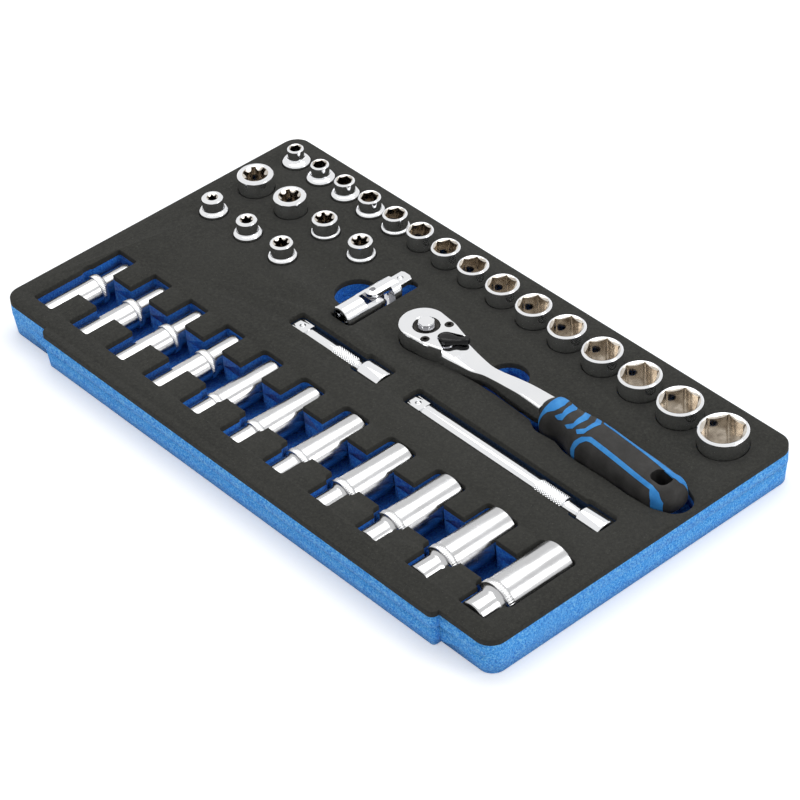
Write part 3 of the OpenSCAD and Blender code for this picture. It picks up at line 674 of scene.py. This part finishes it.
def upright_outer(r, wide):
    """Outside line of a short socket: a base of radius wide, swept in to radius r at the tip."""
    tip = [(r, SHORT_L - EDGE), (r - EDGE, SHORT_L)]
    if wide <= r + 0.2:
        return [(FACE_R, 0.0), (r - EDGE, 0.0), (r, EDGE)] + tip
    base = SHORT_L - SHORT_SHOW + BASE_SHOW
    bevel = min(1.0, (wide - r) * 0.4)
    sweep = wide - bevel - r
    line = [(FACE_R, 0.0), (wide - EDGE, 0.0), (wide, EDGE), (wide, base), (wide - bevel, base + bevel)]
    line += arc(r + sweep, base + bevel + sweep, sweep, -90, -180)[1:]
    return line + tip


def upright_socket(name, radius, corner, inner, r, wide, steps):
    """Short socket; its bolt end's radius by angle runs between inner and corner."""
    depth = SHORT_L / 2 - 1
    bore = min(inner * BORE_SHARE, BORE_R)
    inside = bolt_recess(SHORT_L, depth, radius, corner)
    inside += [(bore, SHORT_L - depth), (bore, SQUARE_DEPTH)]
    turned_piece(name, upright_place(name), soften(upright_outer(r, wide)), inside, steps)


def deep_place(name):
    """Axes of a deep socket, which lies along Y from its drive face on."""
    low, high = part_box(name)
    drive_face = ((low.x + high.x) / 2, low.y, (low.z + high.z) / 2)
    return Matrix.Translation(drive_face) @ turn(-90, "X") @ TO_METRES


def straight_knurl(r):
    """Radius by angle of a band with teeth along the axis."""
    def radius(a):
        return r - TOOTH_DEPTH * abs(2 * ((a * TEETH / (2 * math.pi)) % 1) - 1)
    return radius


def deep_outer(size, r):
    """Outside rings of a deep socket, from its drive face to its tip."""
    drive_r = DEEP_DRIVE_R if size < WIDE_SIZE else r * WIDE_DRIVE
    start = [(FACE_R, 0.0), (drive_r - EDGE, 0.0), (drive_r, EDGE)]
    tip = [(r, DEEP_L - EDGE), (r - EDGE, DEEP_L)]
    if r < DEEP_DRIVE_R + 0.4:
        foot, top, band_r = FLANGE_Z, FLANGE_Z + BAND_L, FLANGE_R
        before = soften(start + [(drive_r, foot), (band_r - BAND_STEP, foot)])
        wide = band_r - 0.5
        sweep = wide - r
        after = [(band_r - BAND_STEP, top), (wide, top), (wide, top + 0.1)]
        after += arc(wide, top + 0.1 + sweep, sweep, -90, -180)[1:] + tip
    else:
        foot, top, band_r = BAND_Z, BAND_Z + BAND_L, r + BAND_OUT
        sweep = max(0.25, r - drive_r)
        neck = [(drive_r, foot - sweep - 0.1)]
        neck += arc(r, foot - sweep - 0.1, sweep, 180, 90)[1:]
        before = soften(start + neck + [(r, foot)], 0.2)
        after = [(r, top)] + tip
    teeth = straight_knurl(band_r)
    band = [(band_r - BAND_STEP, foot), (teeth, foot + TOOTH_END), (teeth, top - TOOTH_END),
            (band_r - BAND_STEP, top)]
    return before + band + soften(after)


def deep_socket(name, size):
    """Deep socket, wide inside behind its bolt end to take a stud."""
    recess_end = DEEP_L - DEEP_L / 3
    bore = min(size / 2 * BORE_SHARE, BORE_R)
    inside = bolt_recess(DEEP_L, DEEP_L / 3, hex_r(size), size / math.sqrt(3))
    inside += [(size * WIDE_BORE, recess_end), (size * WIDE_BORE, DEEP_L / 4), (bore, DEEP_L / 4),
               (bore, SQUARE_DEPTH)]
    outside = deep_outer(size, wall_r(size))
    turned_piece(name, deep_place(name), outside, inside, TURNED_STEPS, "satin_chrome")


def sockets():
    """Every socket of the frame, by the size at the end of its name."""
    for name in NODES:
        if name.startswith("hex_socket_"):
            size = int(name[-2:])
            r = wall_r(size)
            wide = BASE_R if size <= BASE_MAX_SIZE else r
            upright_socket(name, hex_r(size), size / math.sqrt(3), size / 2, r, wide, HEX_STEPS)
        elif name.startswith("star_socket_"):
            points, outer = STARS[name[-3:]]
            wide = max(outer / 2, BASE_R)
            upright_socket(name, star_r(points), points / 2, points * VALLEY_R, outer / 2, wide, STAR_STEPS)
        elif name.startswith("deep_socket_"):
            deep_socket(name, int(name[-2:]))


# ---- extension bars, in mm, end of the male square on height 0 ----

MALE_L = 10.6
MALE_GROOVE_L = 1.2
BAR_HEAD = 18.6
BAR_HEAD_R = 8.0
BAR_NECK_R = 4.8
BALL_R = 1.75
# Diamond knurl: height of its crests over the bar, depth, pitch along the bar and round it
KNURL_OUT = 0.3
KNURL_DEPTH = 0.35
KNURL_PITCH = 2.0
KNURL_ROUND = 1.3
# Length over which it rises at each end, sharpness of its crests, distance between its rings
KNURL_FADE = 0.6
KNURL_CREST = 1.6
KNURL_STEP = 0.22


def diamond_knurl(r, count, start, end):
    """Rings of a diamond knurl between two heights, with count ridges round the bar each way."""
    def radius_at(z):
        fade = min(1.0, (z - start) / KNURL_FADE, (end - z) / KNURL_FADE)

        def radius(a):
            u = (a * count / (2 * math.pi) + (z - start) / KNURL_PITCH) % 1
            v = (a * count / (2 * math.pi) - (z - start) / KNURL_PITCH) % 1
            ridge = min(abs(2 * u - 1), abs(2 * v - 1))
            return r - KNURL_DEPTH * fade * (1 - min(1.0, KNURL_CREST * (1 - ridge)))
        return radius
    return [(radius_at(z), z) for z in spread(start, end, KNURL_STEP)]


def bar_place(name):
    """Axes of a bar, which lies along X from its male square on."""
    low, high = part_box(name)
    tip = (low.x, (low.y + high.y) / 2, (low.z + high.z) / 2)
    return Matrix.Translation(tip) @ turn(90, "Y") @ TO_METRES


def extension_bar(name, r, knurl, neck):
    """Bar of radius r with its knurl, a thin neck and a head with a female square."""
    low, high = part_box(name)
    length = (high.x - low.x) / MM
    head_z = length - BAR_HEAD
    end = head_z - neck
    start = end - knurl
    root = SQUARE / 2 - 0.3
    shoulder = MALE_L + MALE_GROOVE_L
    flare = (BAR_HEAD_R - BAR_NECK_R) * 0.4
    rings = [(square_tip_r, 0.0), (square_bar_r, 1.0), (square_bar_r, MALE_L)]
    rings += soften([(root, MALE_L), (root, shoulder), (r - 0.3, shoulder), (r, MALE_L + 1.5),
                     (r, start - 0.05)], 0.2)
    rings += diamond_knurl(r + KNURL_OUT, round(2 * math.pi * r / KNURL_ROUND), start, end)
    rings += soften([(r, end + 0.05), (BAR_NECK_R, end + 0.6), (BAR_NECK_R, head_z - flare),
                     (BAR_HEAD_R - EDGE, head_z + flare), (BAR_HEAD_R, head_z + flare + EDGE),
                     (BAR_HEAD_R, length - EDGE), (BAR_HEAD_R - EDGE, length), (FACE_R, length)], 0.5)
    rings += square_mouth(length, -1)
    place = bar_place(name)
    obj = add_piece(name, "turned", turned_solid(rings, place, TURNED_STEPS), "chrome")
    ball_bore(obj, place)
    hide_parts(name)


def ball_bore(obj, place):
    """Blind bore for the ball and its spring, across the male square."""
    across = place @ (Matrix.Translation((0, 0, MALE_L / 2)) @ turn(-90, "Y"))
    bore_r = BALL_R + PLAY
    bore = [(bore_r, -2.0), (bore_r, SQUARE / 2 + PAST)]
    cut(obj, turned_solid(bore, across, SMALL_STEPS))
    smooth(obj)


# ---- ratchet, in mm: drive's centre line on X = Y = 0, head's underside on height 0 ----

HEAD_H = 14.0
PLATE_T = 3.0
# Plan of the head: the outline round these circles of (x, radius), cut off at HEAD_END
HEAD_CIRCLES = ((-3, 13.6), (9, 12.3), (22.4, 9.2))
HEAD_END = 22.4
# Its edges, as (inset, height)
HEAD_EDGE = ((1.5, 0.0), (1.2, 0.0), (0.35, 0.35), (0.0, 1.2), (0.0, HEAD_H))
PLATE_TOP = HEAD_H + PLATE_T
PLATE_EDGE = ((0.0, HEAD_H), (0.0, PLATE_TOP - 0.8), (0.12, PLATE_TOP - 0.4), (0.4, PLATE_TOP - 0.12),
              (0.8, PLATE_TOP), (1.0, PLATE_TOP))
# Neck sections: x, half width, low, high, squareness
NECK = ((12, 7, 2, 13, 8), (18, 9.2, 0.4, 13.9, 6), (24, 9.2, 0.4, 13.7, 6),
        (33, 7.6, 1, 12.6, 8), (42, 6.2, 1.6, 11.9, 10), (50, 4.6, 1.8, 12.8, 12),
        (58, 4.5, 1.4, 13.9, 12), (69, 5.1, 0.4, 15.7, 12), (81, 5.6, -0.6, 17.2, 12),
        (97, 6.5, -2, 17.6, 12))
# Rooms inside the head, and the window over the gear
GEAR_FLOOR = 2.5
GEAR_ROOM_R = 10.45
HUB_HOLE_R = 7.45
PAWL_X = 14.5
PAWL_ROOM_R = 8.6
WINDOW_R = 7.7
WINDOW_BEVEL = 0.4
# Cover screws
SCREW_X = 8.8
SCREW_Y = 9.0
SCREW_R = 1.6
SCREW_END = 6.0
SCREW_HEAD_R = 2.5
SCREW_HEAD_H = 1.6
# Reverse lever, its stem and the recess round it, which opens into two wings towards the tail
LEVER_X = 16.0
LEVER_TURN = 40.0
LEVER_SQUARE = 3.6
STEM_R = 2.4
RECESS_R = 4.8
RECESS_FLOOR = 13.15
WING_TURN = 24.0
WING_L = 30.0
# Lever sections from its pivot: x, half width, low, high
LEVER = ((-4.1, 0.8, 1.4, 2.6), (-3.7, 2.2, 0.2, 3.9), (-2.2, 3.7, 0, 4.4), (0.4, 4.1, 0, 4.5),
         (3.4, 3.5, 0, 4), (6.2, 2.5, 0, 3.3), (8.6, 2.2, 0, 3.3), (10.8, 2.5, 0, 4),
         (12.4, 2.4, 0.1, 4.2), (13.2, 1.5, 0.5, 3.8), (13.4, 0.5, 1.4, 2.8))
# Release button, an octagon with trimmed corners, and the gear's ring round it
BUTTON_TOP = 19.9
BUTTON_FLAT = 4.55
BUTTON_R = 4.85
RING_TOP = 16.5


def ratchet_place():
    """Axes of the whole ratchet."""
    low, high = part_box("drive_gear")
    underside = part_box("cover_plate")[0].z - HEAD_H * MM
    foot = ((low.x + high.x) / 2, (low.y + high.y) / 2, underside)
    return Matrix.Translation(foot) @ TO_METRES


def teardrop(inset, height, steps=160):
    """Plan of the head at a height, drawn in by inset."""
    points = []
    for k in range(steps):
        c, s = math.cos(2 * math.pi * k / steps), math.sin(2 * math.pi * k / steps)
        x, r = max(HEAD_CIRCLES, key=lambda circle: circle[0] * c + circle[1])
        points.append((min(x + (r - inset) * c, HEAD_END - inset), (r - inset) * s, height))
    return points


def round_cut(obj, place, x, y, rings):
    """Round room or hole with its centre line at (x, y)."""
    cut(obj, turned_solid(rings, place @ Matrix.Translation((x, y, 0)), CUTTER_STEPS))


def ratchet_body():
    """Forged head and neck, with the rooms for gear, pawl, lever and screws."""
    place = ratchet_place()
    head = tube_mesh([teardrop(*row) for row in HEAD_EDGE], place)
    obj = add_piece("ratchet_body", "forged", head, "chrome")
    neck = [oval_ring(x, *curve_row(NECK, x)) for x in spread(NECK[0][0], NECK[-1][0], 1.0)]
    weld(obj, tube_mesh(neck, place))
    pawl_roof = RECESS_FLOOR - 1.0
    stem_r = STEM_R + PLAY
    above = HEAD_H + PAST
    round_cut(obj, place, 0, 0, [(GEAR_ROOM_R, GEAR_FLOOR), (GEAR_ROOM_R, above)])
    round_cut(obj, place, 0, 0, [(HUB_HOLE_R, -PAST), (HUB_HOLE_R, GEAR_FLOOR + PAST)])
    round_cut(obj, place, PAWL_X, 0, [(PAWL_ROOM_R, GEAR_FLOOR), (PAWL_ROOM_R, pawl_roof)])
    round_cut(obj, place, LEVER_X, 0, [(stem_r, pawl_roof - PAST), (stem_r, above)])
    cut(obj, lever_recess(place))
    for side in (-1, 1):
        round_cut(obj, place, SCREW_X, side * SCREW_Y, [(SCREW_R, SCREW_END), (SCREW_R, above)])
    smooth(obj, 40.0)
    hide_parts("ratchet_body")


def lever_recess(place):
    """Room round the lever, open towards the tail: an arc, then two wings."""
    outline = arc(LEVER_X, 0, RECESS_R, 90 + WING_TURN, 270 - WING_TURN, 24)
    wing = math.radians(WING_TURN)
    x, y = outline[-1]
    x, y = x + WING_L * math.cos(wing), y - WING_L * math.sin(wing)
    outline += [(x, y), (x, -y)]
    return tube_mesh([[(*point, z) for point in outline] for z in (RECESS_FLOOR, PLATE_TOP + PAST)], place)


def cover_plate():
    """Polished plate with its window, two screw holes and the lever's recess."""
    place = ratchet_place()
    plate = tube_mesh([teardrop(*row) for row in PLATE_EDGE], place)
    obj = add_piece("cover_plate", "polished", plate, "chrome")
    below, lip, above = HEAD_H - PAST, PLATE_TOP + 0.01, PLATE_TOP + PAST
    window_lip_r = WINDOW_R + WINDOW_BEVEL
    window = [(WINDOW_R, below), (WINDOW_R, PLATE_TOP - WINDOW_BEVEL), (window_lip_r, lip),
              (window_lip_r, above)]
    round_cut(obj, place, 0, 0, window)
    floor, screw_lip_r = PLATE_TOP - SCREW_HEAD_H, SCREW_HEAD_R + 0.25
    screw = [(SCREW_R, below), (SCREW_R, floor), (SCREW_HEAD_R, floor), (SCREW_HEAD_R, PLATE_TOP - 0.2),
             (screw_lip_r, lip), (screw_lip_r, above)]
    for side in (-1, 1):
        round_cut(obj, place, SCREW_X, side * SCREW_Y, screw)
    cut(obj, lever_recess(place))
    smooth(obj, 30.0)
    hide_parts("cover_plate")


def reverse_lever():
    """Moulded lever on its stem."""
    pivot = Matrix.Translation((LEVER_X, 0, RECESS_FLOOR + 0.2))
    place = ratchet_place() @ pivot @ turn(LEVER_TURN, "Z")
    stops = spread(LEVER[0][0], LEVER[-1][0], 0.4)
    lever = tube_mesh([oval_ring(x, *curve_row(LEVER, x), LEVER_SQUARE) for x in stops], place)
    obj = add_piece("reverse_lever", "moulded", lever, "lever_black")
    weld(obj, turned_solid([(STEM_R, 1.2 - RECESS_FLOOR), (STEM_R, 1.0)], place, SMALL_STEPS))
    smooth(obj, 50.0)
    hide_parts("reverse_lever")


def octagon_r(inset):
    """Radius by angle of the button's octagon, drawn in by inset."""
    def radius(a):
        return min(BUTTON_FLAT / math.cos(fold(a, math.pi / 4)), BUTTON_R) - inset
    return radius


def release_button():
    """Eight-sided cap over the button's own stem."""
    place = ratchet_place()
    cap = [(octagon_r(0.0), HEAD_H + 1), (octagon_r(0.0), BUTTON_TOP - 0.9),
           (octagon_r(0.25), BUTTON_TOP - 0.3), (octagon_r(0.8), BUTTON_TOP)]
    obj = add_piece("release_button", "cap", node_bmesh("release_button"), "chrome")
    weld(obj, turned_solid(cap, place, CAP_STEPS))
    smooth(obj, 30.0)
    side_z = place.translation.z + PLATE_TOP * MM
    painted(obj, "steel", lambda face: face.center.z > side_z and abs(face.normal.z) < 0.3)
    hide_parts("release_button")


def drive_gear():
    """The CAD gear with a stepped ring round the button, its upper part near black as painted shade in the
    window.
    """
    place = ratchet_place()
    inner, outer = BUTTON_R + 0.15, WINDOW_R - 0.2
    step = RING_TOP - 0.3
    ring = [(inner, HEAD_H + 0.8), (outer, HEAD_H + 0.8), (outer, step), (outer - 0.3, RING_TOP),
            (outer - 1.0, RING_TOP), (outer - 1.1, step), (inner + 0.6, step), (inner + 0.5, RING_TOP),
            (inner, RING_TOP)]
    obj = add_piece("drive_gear", "ringed", node_bmesh("drive_gear"), "steel")
    weld(obj, turned_shell(ring, place, CAP_STEPS))
    smooth(obj, 30.0)
    ring_z = place.translation.z + (HEAD_H - 2) * MM
    # Faces above ring_z get near black steel: painted shade in the window round the button
    painted(obj, "dark_steel_painted_shade", lambda face: face.center.z > ring_z)
    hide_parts("drive_gear")


# ---- grip, x from its own front end, in mm ----

GRIP_X = 93.0
GRIP_L = 104.0
HANDLE_Z = 6.6
# Sections: x, half width in front, half width at the back, height over the middle
GRIP = ((3.6, 6.8, 8, 12), (4.8, 7.8, 9.6, 12.9), (7.5, 8.7, 10.9, 13.5), (11, 9.3, 11, 13.7),
        (18, 7.4, 10.2, 13), (24, 8.4, 10.8, 13.2), (33, 11.7, 12.6, 13.7), (44, 12.4, 12.9, 13.8),
        (56, 12.5, 12.4, 13.2), (68, 12.2, 12.7, 11.9), (80, 12.4, 12.9, 10.9), (91, 12.3, 12.2, 10.2),
        (96, 11.3, 11.4, 9.6), (100, 8.9, 9, 7.8), (102.6, 5.6, 5.7, 5), (104, 0.9, 0.9, 0.8))
GRIP_START = GRIP[0][0]
GRIP_STEPS = 120
GRIP_SQUARE = 2.4
UNDER_SHARE = 0.8
# The front end's top leans back by LEAN, less and less between the two stops along the grip
LEAN = 1.4
LEAN_STOPS = (20, 40)
# Finger ripples: stops along the grip where they rise and fade, and angles on its front side
RIPPLE = 0.45
RIPPLE_PITCH = 13.5
RIPPLE_RISE = (30, 38)
RIPPLE_FADE = (84, 92)
RIPPLE_ANGLES = (130, 160)
# Hanging hole: length, width and corner radius, and its middle's distance from the grip's end
HOLE = (11.4, 9.6, 3.6)
HOLE_BACK = 14.2


def grip_point(x, angle, lift=0.0):
    """Point of the grip's surface; angle 0 is the back, 90 the top, 180 the front."""
    front, back, tall = curve_row(GRIP, x)
    c, s = oval(math.radians(angle), GRIP_SQUARE)
    half = front if c < 0 else back
    if s < 0:
        tall *= UNDER_SHARE
    held = min(rise(x, *RIPPLE_RISE), rise(x, *reversed(RIPPLE_FADE)))
    low_front = rise(angle, *RIPPLE_ANGLES) if angle < 270 else 0.0
    wave = 0.5 - 0.5 * math.cos(2 * math.pi * (x - RIPPLE_RISE[1]) / RIPPLE_PITCH)
    half -= RIPPLE * held * low_front * wave
    leaning = min(rise(x, *reversed(LEAN_STOPS)), rise(x, GRIP_START, GRIP_START + 4))
    lean = LEAN * max(0.0, s) * leaning
    return (GRIP_X + x, (half + lift) * c + lean, HANDLE_Z + (tall + lift) * s)


def rounded_rect(length, width, corner):
    """Outline round the origin, corners as arcs."""
    points = []
    for sx, sy, start in ((1, 1, 0), (-1, 1, 90), (-1, -1, 180), (1, -1, 270)):
        x, y = sx * (length / 2 - corner), sy * (width / 2 - corner)
        points += arc(x, y, corner, start, start + 90)
    return points


def grip():
    """Moulded grip with its hanging hole."""
    place = ratchet_place()
    stops = spread(GRIP_START, 6.0, 0.4) + spread(6.0, 96.0, 1.0)[1:] + spread(96.0, GRIP_L, 0.4)[1:]
    rows = [[grip_point(x, 360 * k / GRIP_STEPS) for k in range(GRIP_STEPS)] for x in stops]
    obj = add_piece("grip", "moulded", tube_mesh(rows, place), "grip_rubber")
    hole_x = GRIP_X + GRIP_L - HOLE_BACK
    hole = [(hole_x + x, y) for x, y in rounded_rect(*HOLE)]
    cut(obj, tube_mesh([[(*point, z) for point in hole] for z in (-12, 26)], place))
    smooth(obj, 40.0)
    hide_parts("grip")


# ---- coloured inlays of the grip, outlines as (x, angle) on its surface ----

COLLAR = ((3.7, 186), (4.4, 172), (6.2, 140), (7.2, 112), (7.2, 82), (6.8, 54), (8.6, 34), (11, 40),
          (12.4, 56), (14.6, 85), (14.2, 104), (13, 118), (9.8, 132), (7.4, 150), (5.8, 168), (4.4, 186))
BARS = (((13.8, 44), (18, 48), (21.4, 73), (19.8, 133), (17, 139), (14.6, 132), (17.6, 112), (16.2, 68)),
        ((24.6, 52), (29, 56), (32.2, 84), (29.8, 126), (25.8, 140), (23, 138), (28, 114), (27.4, 80)),
        ((33.2, 56), (36.4, 52), (39.8, 73), (38.2, 116), (34.6, 128), (32.2, 121), (36.4, 103), (36.4, 78)))
FRONT_LINE = ((33.8, 200), (33.2, 174), (35, 148), (38.2, 126), (43, 112), (67, 116), (90.6, 121),
              (95.8, 130), (99.6, 158), (99.6, 200), (93.6, 200), (93.2, 165), (90.4, 135), (67.8, 130),
              (45, 125), (42.2, 128), (39, 144), (36.8, 164), (36.4, 200))
BACK_LINE = ((37.6, 46), (41, 50), (66, 50), (91.6, 52), (94.6, 31), (98.2, 12), (98.2, -20),
             (100.6, -20), (100.6, 34), (98.2, 66), (93.6, 74), (69.4, 64), (44.6, 62), (39.2, 60))
# Angle on the grip for each mm of the flat outline; lift over the grip's surface, depth under it
DEGREES_PER_MM = 4.7
INLAY_LIFT = 0.14
INLAY_SINK = -0.5
# Radius of the outlines' corners, distance between their slices
INLAY_ROUND = 0.45
INLAY_STEP = 0.8


def smooth_outline(points):
    """Closed outline in mm with rounded corners."""
    flat = [Vector((x, angle / DEGREES_PER_MM)) for x, angle in points]
    out = []
    for before, here, after in zip(flat[-1:] + flat[:-1], flat, flat[1:] + flat[:1]):
        reach = min(INLAY_ROUND, (before - here).length * 0.4, (after - here).length * 0.4)
        out += bend(before, here, after, reach, 3)
    return out


def sliced_outline(outline):
    """Flat bmesh inside an outline, sliced finely both ways so that it can follow the grip."""
    flat = bmesh.new()
    flat.faces.new([flat.verts.new((p.x, p.y, 0)) for p in smooth_outline(outline)])
    corners = [v.co.copy() for v in flat.verts]
    for axis in (0, 1):
        normal = Vector((1 - axis, axis, 0))
        reach = [corner[axis] for corner in corners]
        for stop in spread(min(reach), max(reach), INLAY_STEP)[1:-1]:
            parts = flat.verts[:] + flat.edges[:] + flat.faces[:]
            bmesh.ops.bisect_plane(flat, geom=parts, plane_co=normal * stop, plane_no=normal)
    flat.verts.index_update()
    return flat


def inlay_patch(bm, outline, place):
    """Thin pad on the grip's surface inside an outline."""
    flat = sliced_outline(outline)
    levels = []
    for lift in (INLAY_LIFT, INLAY_SINK):
        points = [grip_point(v.co.x, v.co.y * DEGREES_PER_MM, lift) for v in flat.verts]
        levels.append([bm.verts.new(place @ Vector(p)) for p in points])
    top, under = levels
    for face in flat.faces:
        ids = [v.index for v in face.verts]
        bm.faces.new([top[i] for i in ids])
        bm.faces.new([under[i] for i in reversed(ids)])
    for edge in flat.edges:
        if edge.is_boundary:
            a, b = (v.index for v in edge.verts)
            bm.faces.new((top[a], top[b], under[b], under[a]))
    flat.free()


def grip_inlays():
    """Collar, three bars and two long lines, as one piece."""
    bm = bmesh.new()
    for outline in (COLLAR, *BARS, FRONT_LINE, BACK_LINE):
        inlay_patch(bm, outline, ratchet_place())
    obj = add_piece("grip_inlays", "moulded", bm, "inlay_rubber")
    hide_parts("grip_inlays")


# ---- foam sheets ----

# Round of the top sheet's edges, and what the blue sheets' outer sides are drawn in by, in mm
EDGE_ROUND = 0.45
SIDE_DRAFT = 1.7
SEAM = 0.3
# Room round the bars that counts as their slots, in mm
SLOT_ROOM = 4
# Largest difference between heights that are the same, in metres
SAME_Z = 1e-6


def border_loops(bm, z):
    """Closed loops of points round the flat faces at height z, the foam on their left."""
    ahead = {}
    for edge in bm.edges:
        flat = [face for face in edge.link_faces
                if abs(face.normal.z) > 0.9 and abs(face.calc_center_median().z - z) < SAME_Z]
        if len(flat) == 1:
            loop = next(side for side in flat[0].loops if side.edge == edge)
            a, b = loop.vert, loop.link_loop_next.vert
            if flat[0].normal.z < 0:
                a, b = b, a
            ahead[a] = b
    loops = []
    while ahead:
        start, here = ahead.popitem()
        loop = [start]
        while here != start:
            loop.append(here)
            here = ahead.pop(here)
        loops.append([Vector((v.co.x, v.co.y)) for v in loop])
    return loops


def drawn_in(loop, inset):
    """The loop moved into the foam by inset."""
    out = []
    for before, here, after in zip(loop[-1:] + loop[:-1], loop, loop[1:] + loop[:1]):
        a, b = (here - before).normalized(), (after - here).normalized()
        left_a, left_b = Vector((-a.y, a.x)), Vector((-b.y, b.x))
        middle = left_a + left_b
        share = max(0.35, 1 + left_a.dot(left_b))
        out.append(here + middle * (inset / share))
    return out


def fill(bm, rims, upward):
    """Flat face that all the rims bound, as triangles."""
    corners = [v for rim in rims for v in rim]
    for a, b, c in tessellate_polygon([[v.co for v in rim] for rim in rims]):
        face = (corners[a], corners[b], corners[c])
        bm.faces.new(face if upward else face[::-1])


def top_sheet():
    """Black sheet with all its openings, their upper edges rounded."""
    source = node_bmesh("top_sheet")
    low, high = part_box("top_sheet")
    loops = border_loops(source, high.z)
    source.free()
    e = EDGE_ROUND * MM
    levels = ((0.0, low.z), (0.0, high.z - e), (e * 0.3, high.z - e * 0.3), (e, high.z))
    bm = bmesh.new()
    under_rims, top_rims = [], []
    for loop in loops:
        rows = [[bm.verts.new((*p, z)) for p in drawn_in(loop, inset)] for inset, z in levels]
        for lower, upper in zip(rows, rows[1:]):
            strip(bm, lower, upper)
        under_rims.append(rows[0])
        top_rims.append(rows[-1])
    fill(bm, under_rims, upward=False)
    fill(bm, top_rims, upward=True)
    obj = add_piece("top_sheet", "cut", bm, "black_foam", 50.0)
    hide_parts("top_sheet")


def bar_slots():
    """Tells whether a face is in the narrow slots of the two bars, which lie in deep shade."""
    boxes = [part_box(bar) for bar in ("short_bar", "long_bar")]
    room = SLOT_ROOM * MM

    def in_slot(face):
        x, y = face.center.x, face.center.y
        return any(low.x - room < x < high.x + room and low.y - room < y < high.y + room
                   for low, high in boxes)
    return in_slot


def width(loop):
    """Length of a loop's box along X."""
    return max(p.x for p in loop) - min(p.x for p in loop)


def point_key(p):
    """Place in plan, rounded so that equal points of two lists match."""
    return (round(p.x, 6), round(p.y, 6))


def blue_sheet(name, insets):
    """Blue sheet whose outer side is drawn in by insets (mm) at its underside and its top."""
    bm = node_bmesh(name)
    bm.verts.index_update()
    low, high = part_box(name)
    rim = set()
    for z, inset in zip((low.z, high.z), insets):
        outer = max(border_loops(bm, z), key=width)
        moved = {point_key(p): q for p, q in zip(outer, drawn_in(outer, inset * MM))}
        for v in bm.verts:
            if abs(v.co.z - z) < SAME_Z and point_key(v.co) in moved:
                v.co.xy = moved[point_key(v.co)]
                rim.add(v.index)
    obj = add_piece(name, "cut", bm, "blue_foam", 50.0)
    # Faces off the outer rim, inside pockets, get the darker blue of painted shade
    painted(obj, "blue_painted_pocket_shade", lambda face: not all(i in rim for i in face.vertices))
    painted(obj, "blue_shade", bar_slots())
    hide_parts(name)


# ---- stage ----

# The floor is a little under the foam, FLOOR_HALF metres to each side
FLOOR_Z = -0.0002
FLOOR_HALF = 6.0
FLOOR_GLOW = 0.34
WORLD_LIGHT = 0.6


def floor_white():
    """Matt white that glows faintly where it is seen, so that it stays bright."""
    material = bpy.data.materials.new("floor_white")
    tree = Tree(material)
    matt = tree.node("BsdfDiffuse", {"Color": (0.86, 0.86, 0.86, 1.0)})
    strength = tree.math("MULTIPLY", tree.seen(), FLOOR_GLOW)
    glow = tree.node("Emission", {"Color": WHITE, "Strength": strength})
    both = tree.node("AddShader", {0: matt.outputs[0], 1: glow.outputs[0]})
    tree.feed(tree.surface, both.outputs[0])
    return material


def stage():
    """White floor under and round the tray."""
    mesh = bpy.data.meshes.new("floor")
    corners = [(x * FLOOR_HALF, y * FLOOR_HALF, FLOOR_Z) for x, y in ((-1, -1), (1, -1), (1, 1), (-1, 1))]
    mesh.from_pydata(corners, [], [(0, 1, 2, 3)])
    mesh.materials.append(floor_white())
    new_object("floor", mesh)


def world():
    """White where it is seen, and dimmer as a light."""
    studio = bpy.data.worlds.new("studio")
    bpy.context.scene.world = studio
    tree = Tree(studio, "OutputWorld")
    lit = tree.node("Background", {"Color": WHITE, "Strength": WORLD_LIGHT})
    white = tree.node("Background", {"Color": WHITE, "Strength": 1.0})
    mix = tree.node("MixShader", {0: tree.seen(), 1: lit.outputs[0], 2: white.outputs[0]})
    tree.feed(tree.surface, mix.outputs[0])


def softbox(name, place, size, power):
    """Rectangular light that faces the tray's origin."""
    data = bpy.data.lights.new(name, "AREA")
    data.shape = "RECTANGLE"
    data.size, data.size_y = size
    data.energy = power
    obj = new_object(name, data)
    obj.location = place
    obj.rotation_euler = (-Vector(place)).to_track_quat("-Z", "Y").to_euler()


def camera(place, turned, lens):
    """Camera at a place in metres, turned in degrees, with a lens in mm."""
    data = bpy.data.cameras.new("photo_view")
    data.sensor_width = 36.0
    data.lens = lens
    data.clip_end = 20.0
    obj = new_object("photo_view", data)
    obj.location = place
    obj.rotation_euler = Euler([math.radians(a) for a in turned], "XYZ")
    bpy.context.scene.camera = obj


dress_nodes()
sockets()
extension_bar("short_bar", 5.0, 18.0, 4.5)
extension_bar("long_bar", 6.0, 21.0, 11.0)
ratchet_body()
cover_plate()
reverse_lever()
release_button()
drive_gear()
grip()
grip_inlays()
top_sheet()
blue_sheet("base_sheet", (SIDE_DRAFT, SEAM))
blue_sheet("middle_sheet", (SEAM * 0.4, 0.0))
stage()
world()
softbox("top_light", (-0.25, 0.35, 1.3), (1.3, 0.9), 9.0)
softbox("side_light", (1.2, 0.6, 0.9), (0.6, 0.6), 4.0)
camera((1.125594, -0.891808, 1.171307), (50.7319, 3.3477, 48.5186), 151.1)
bpy.context.scene.view_settings.view_transform = "Standard"
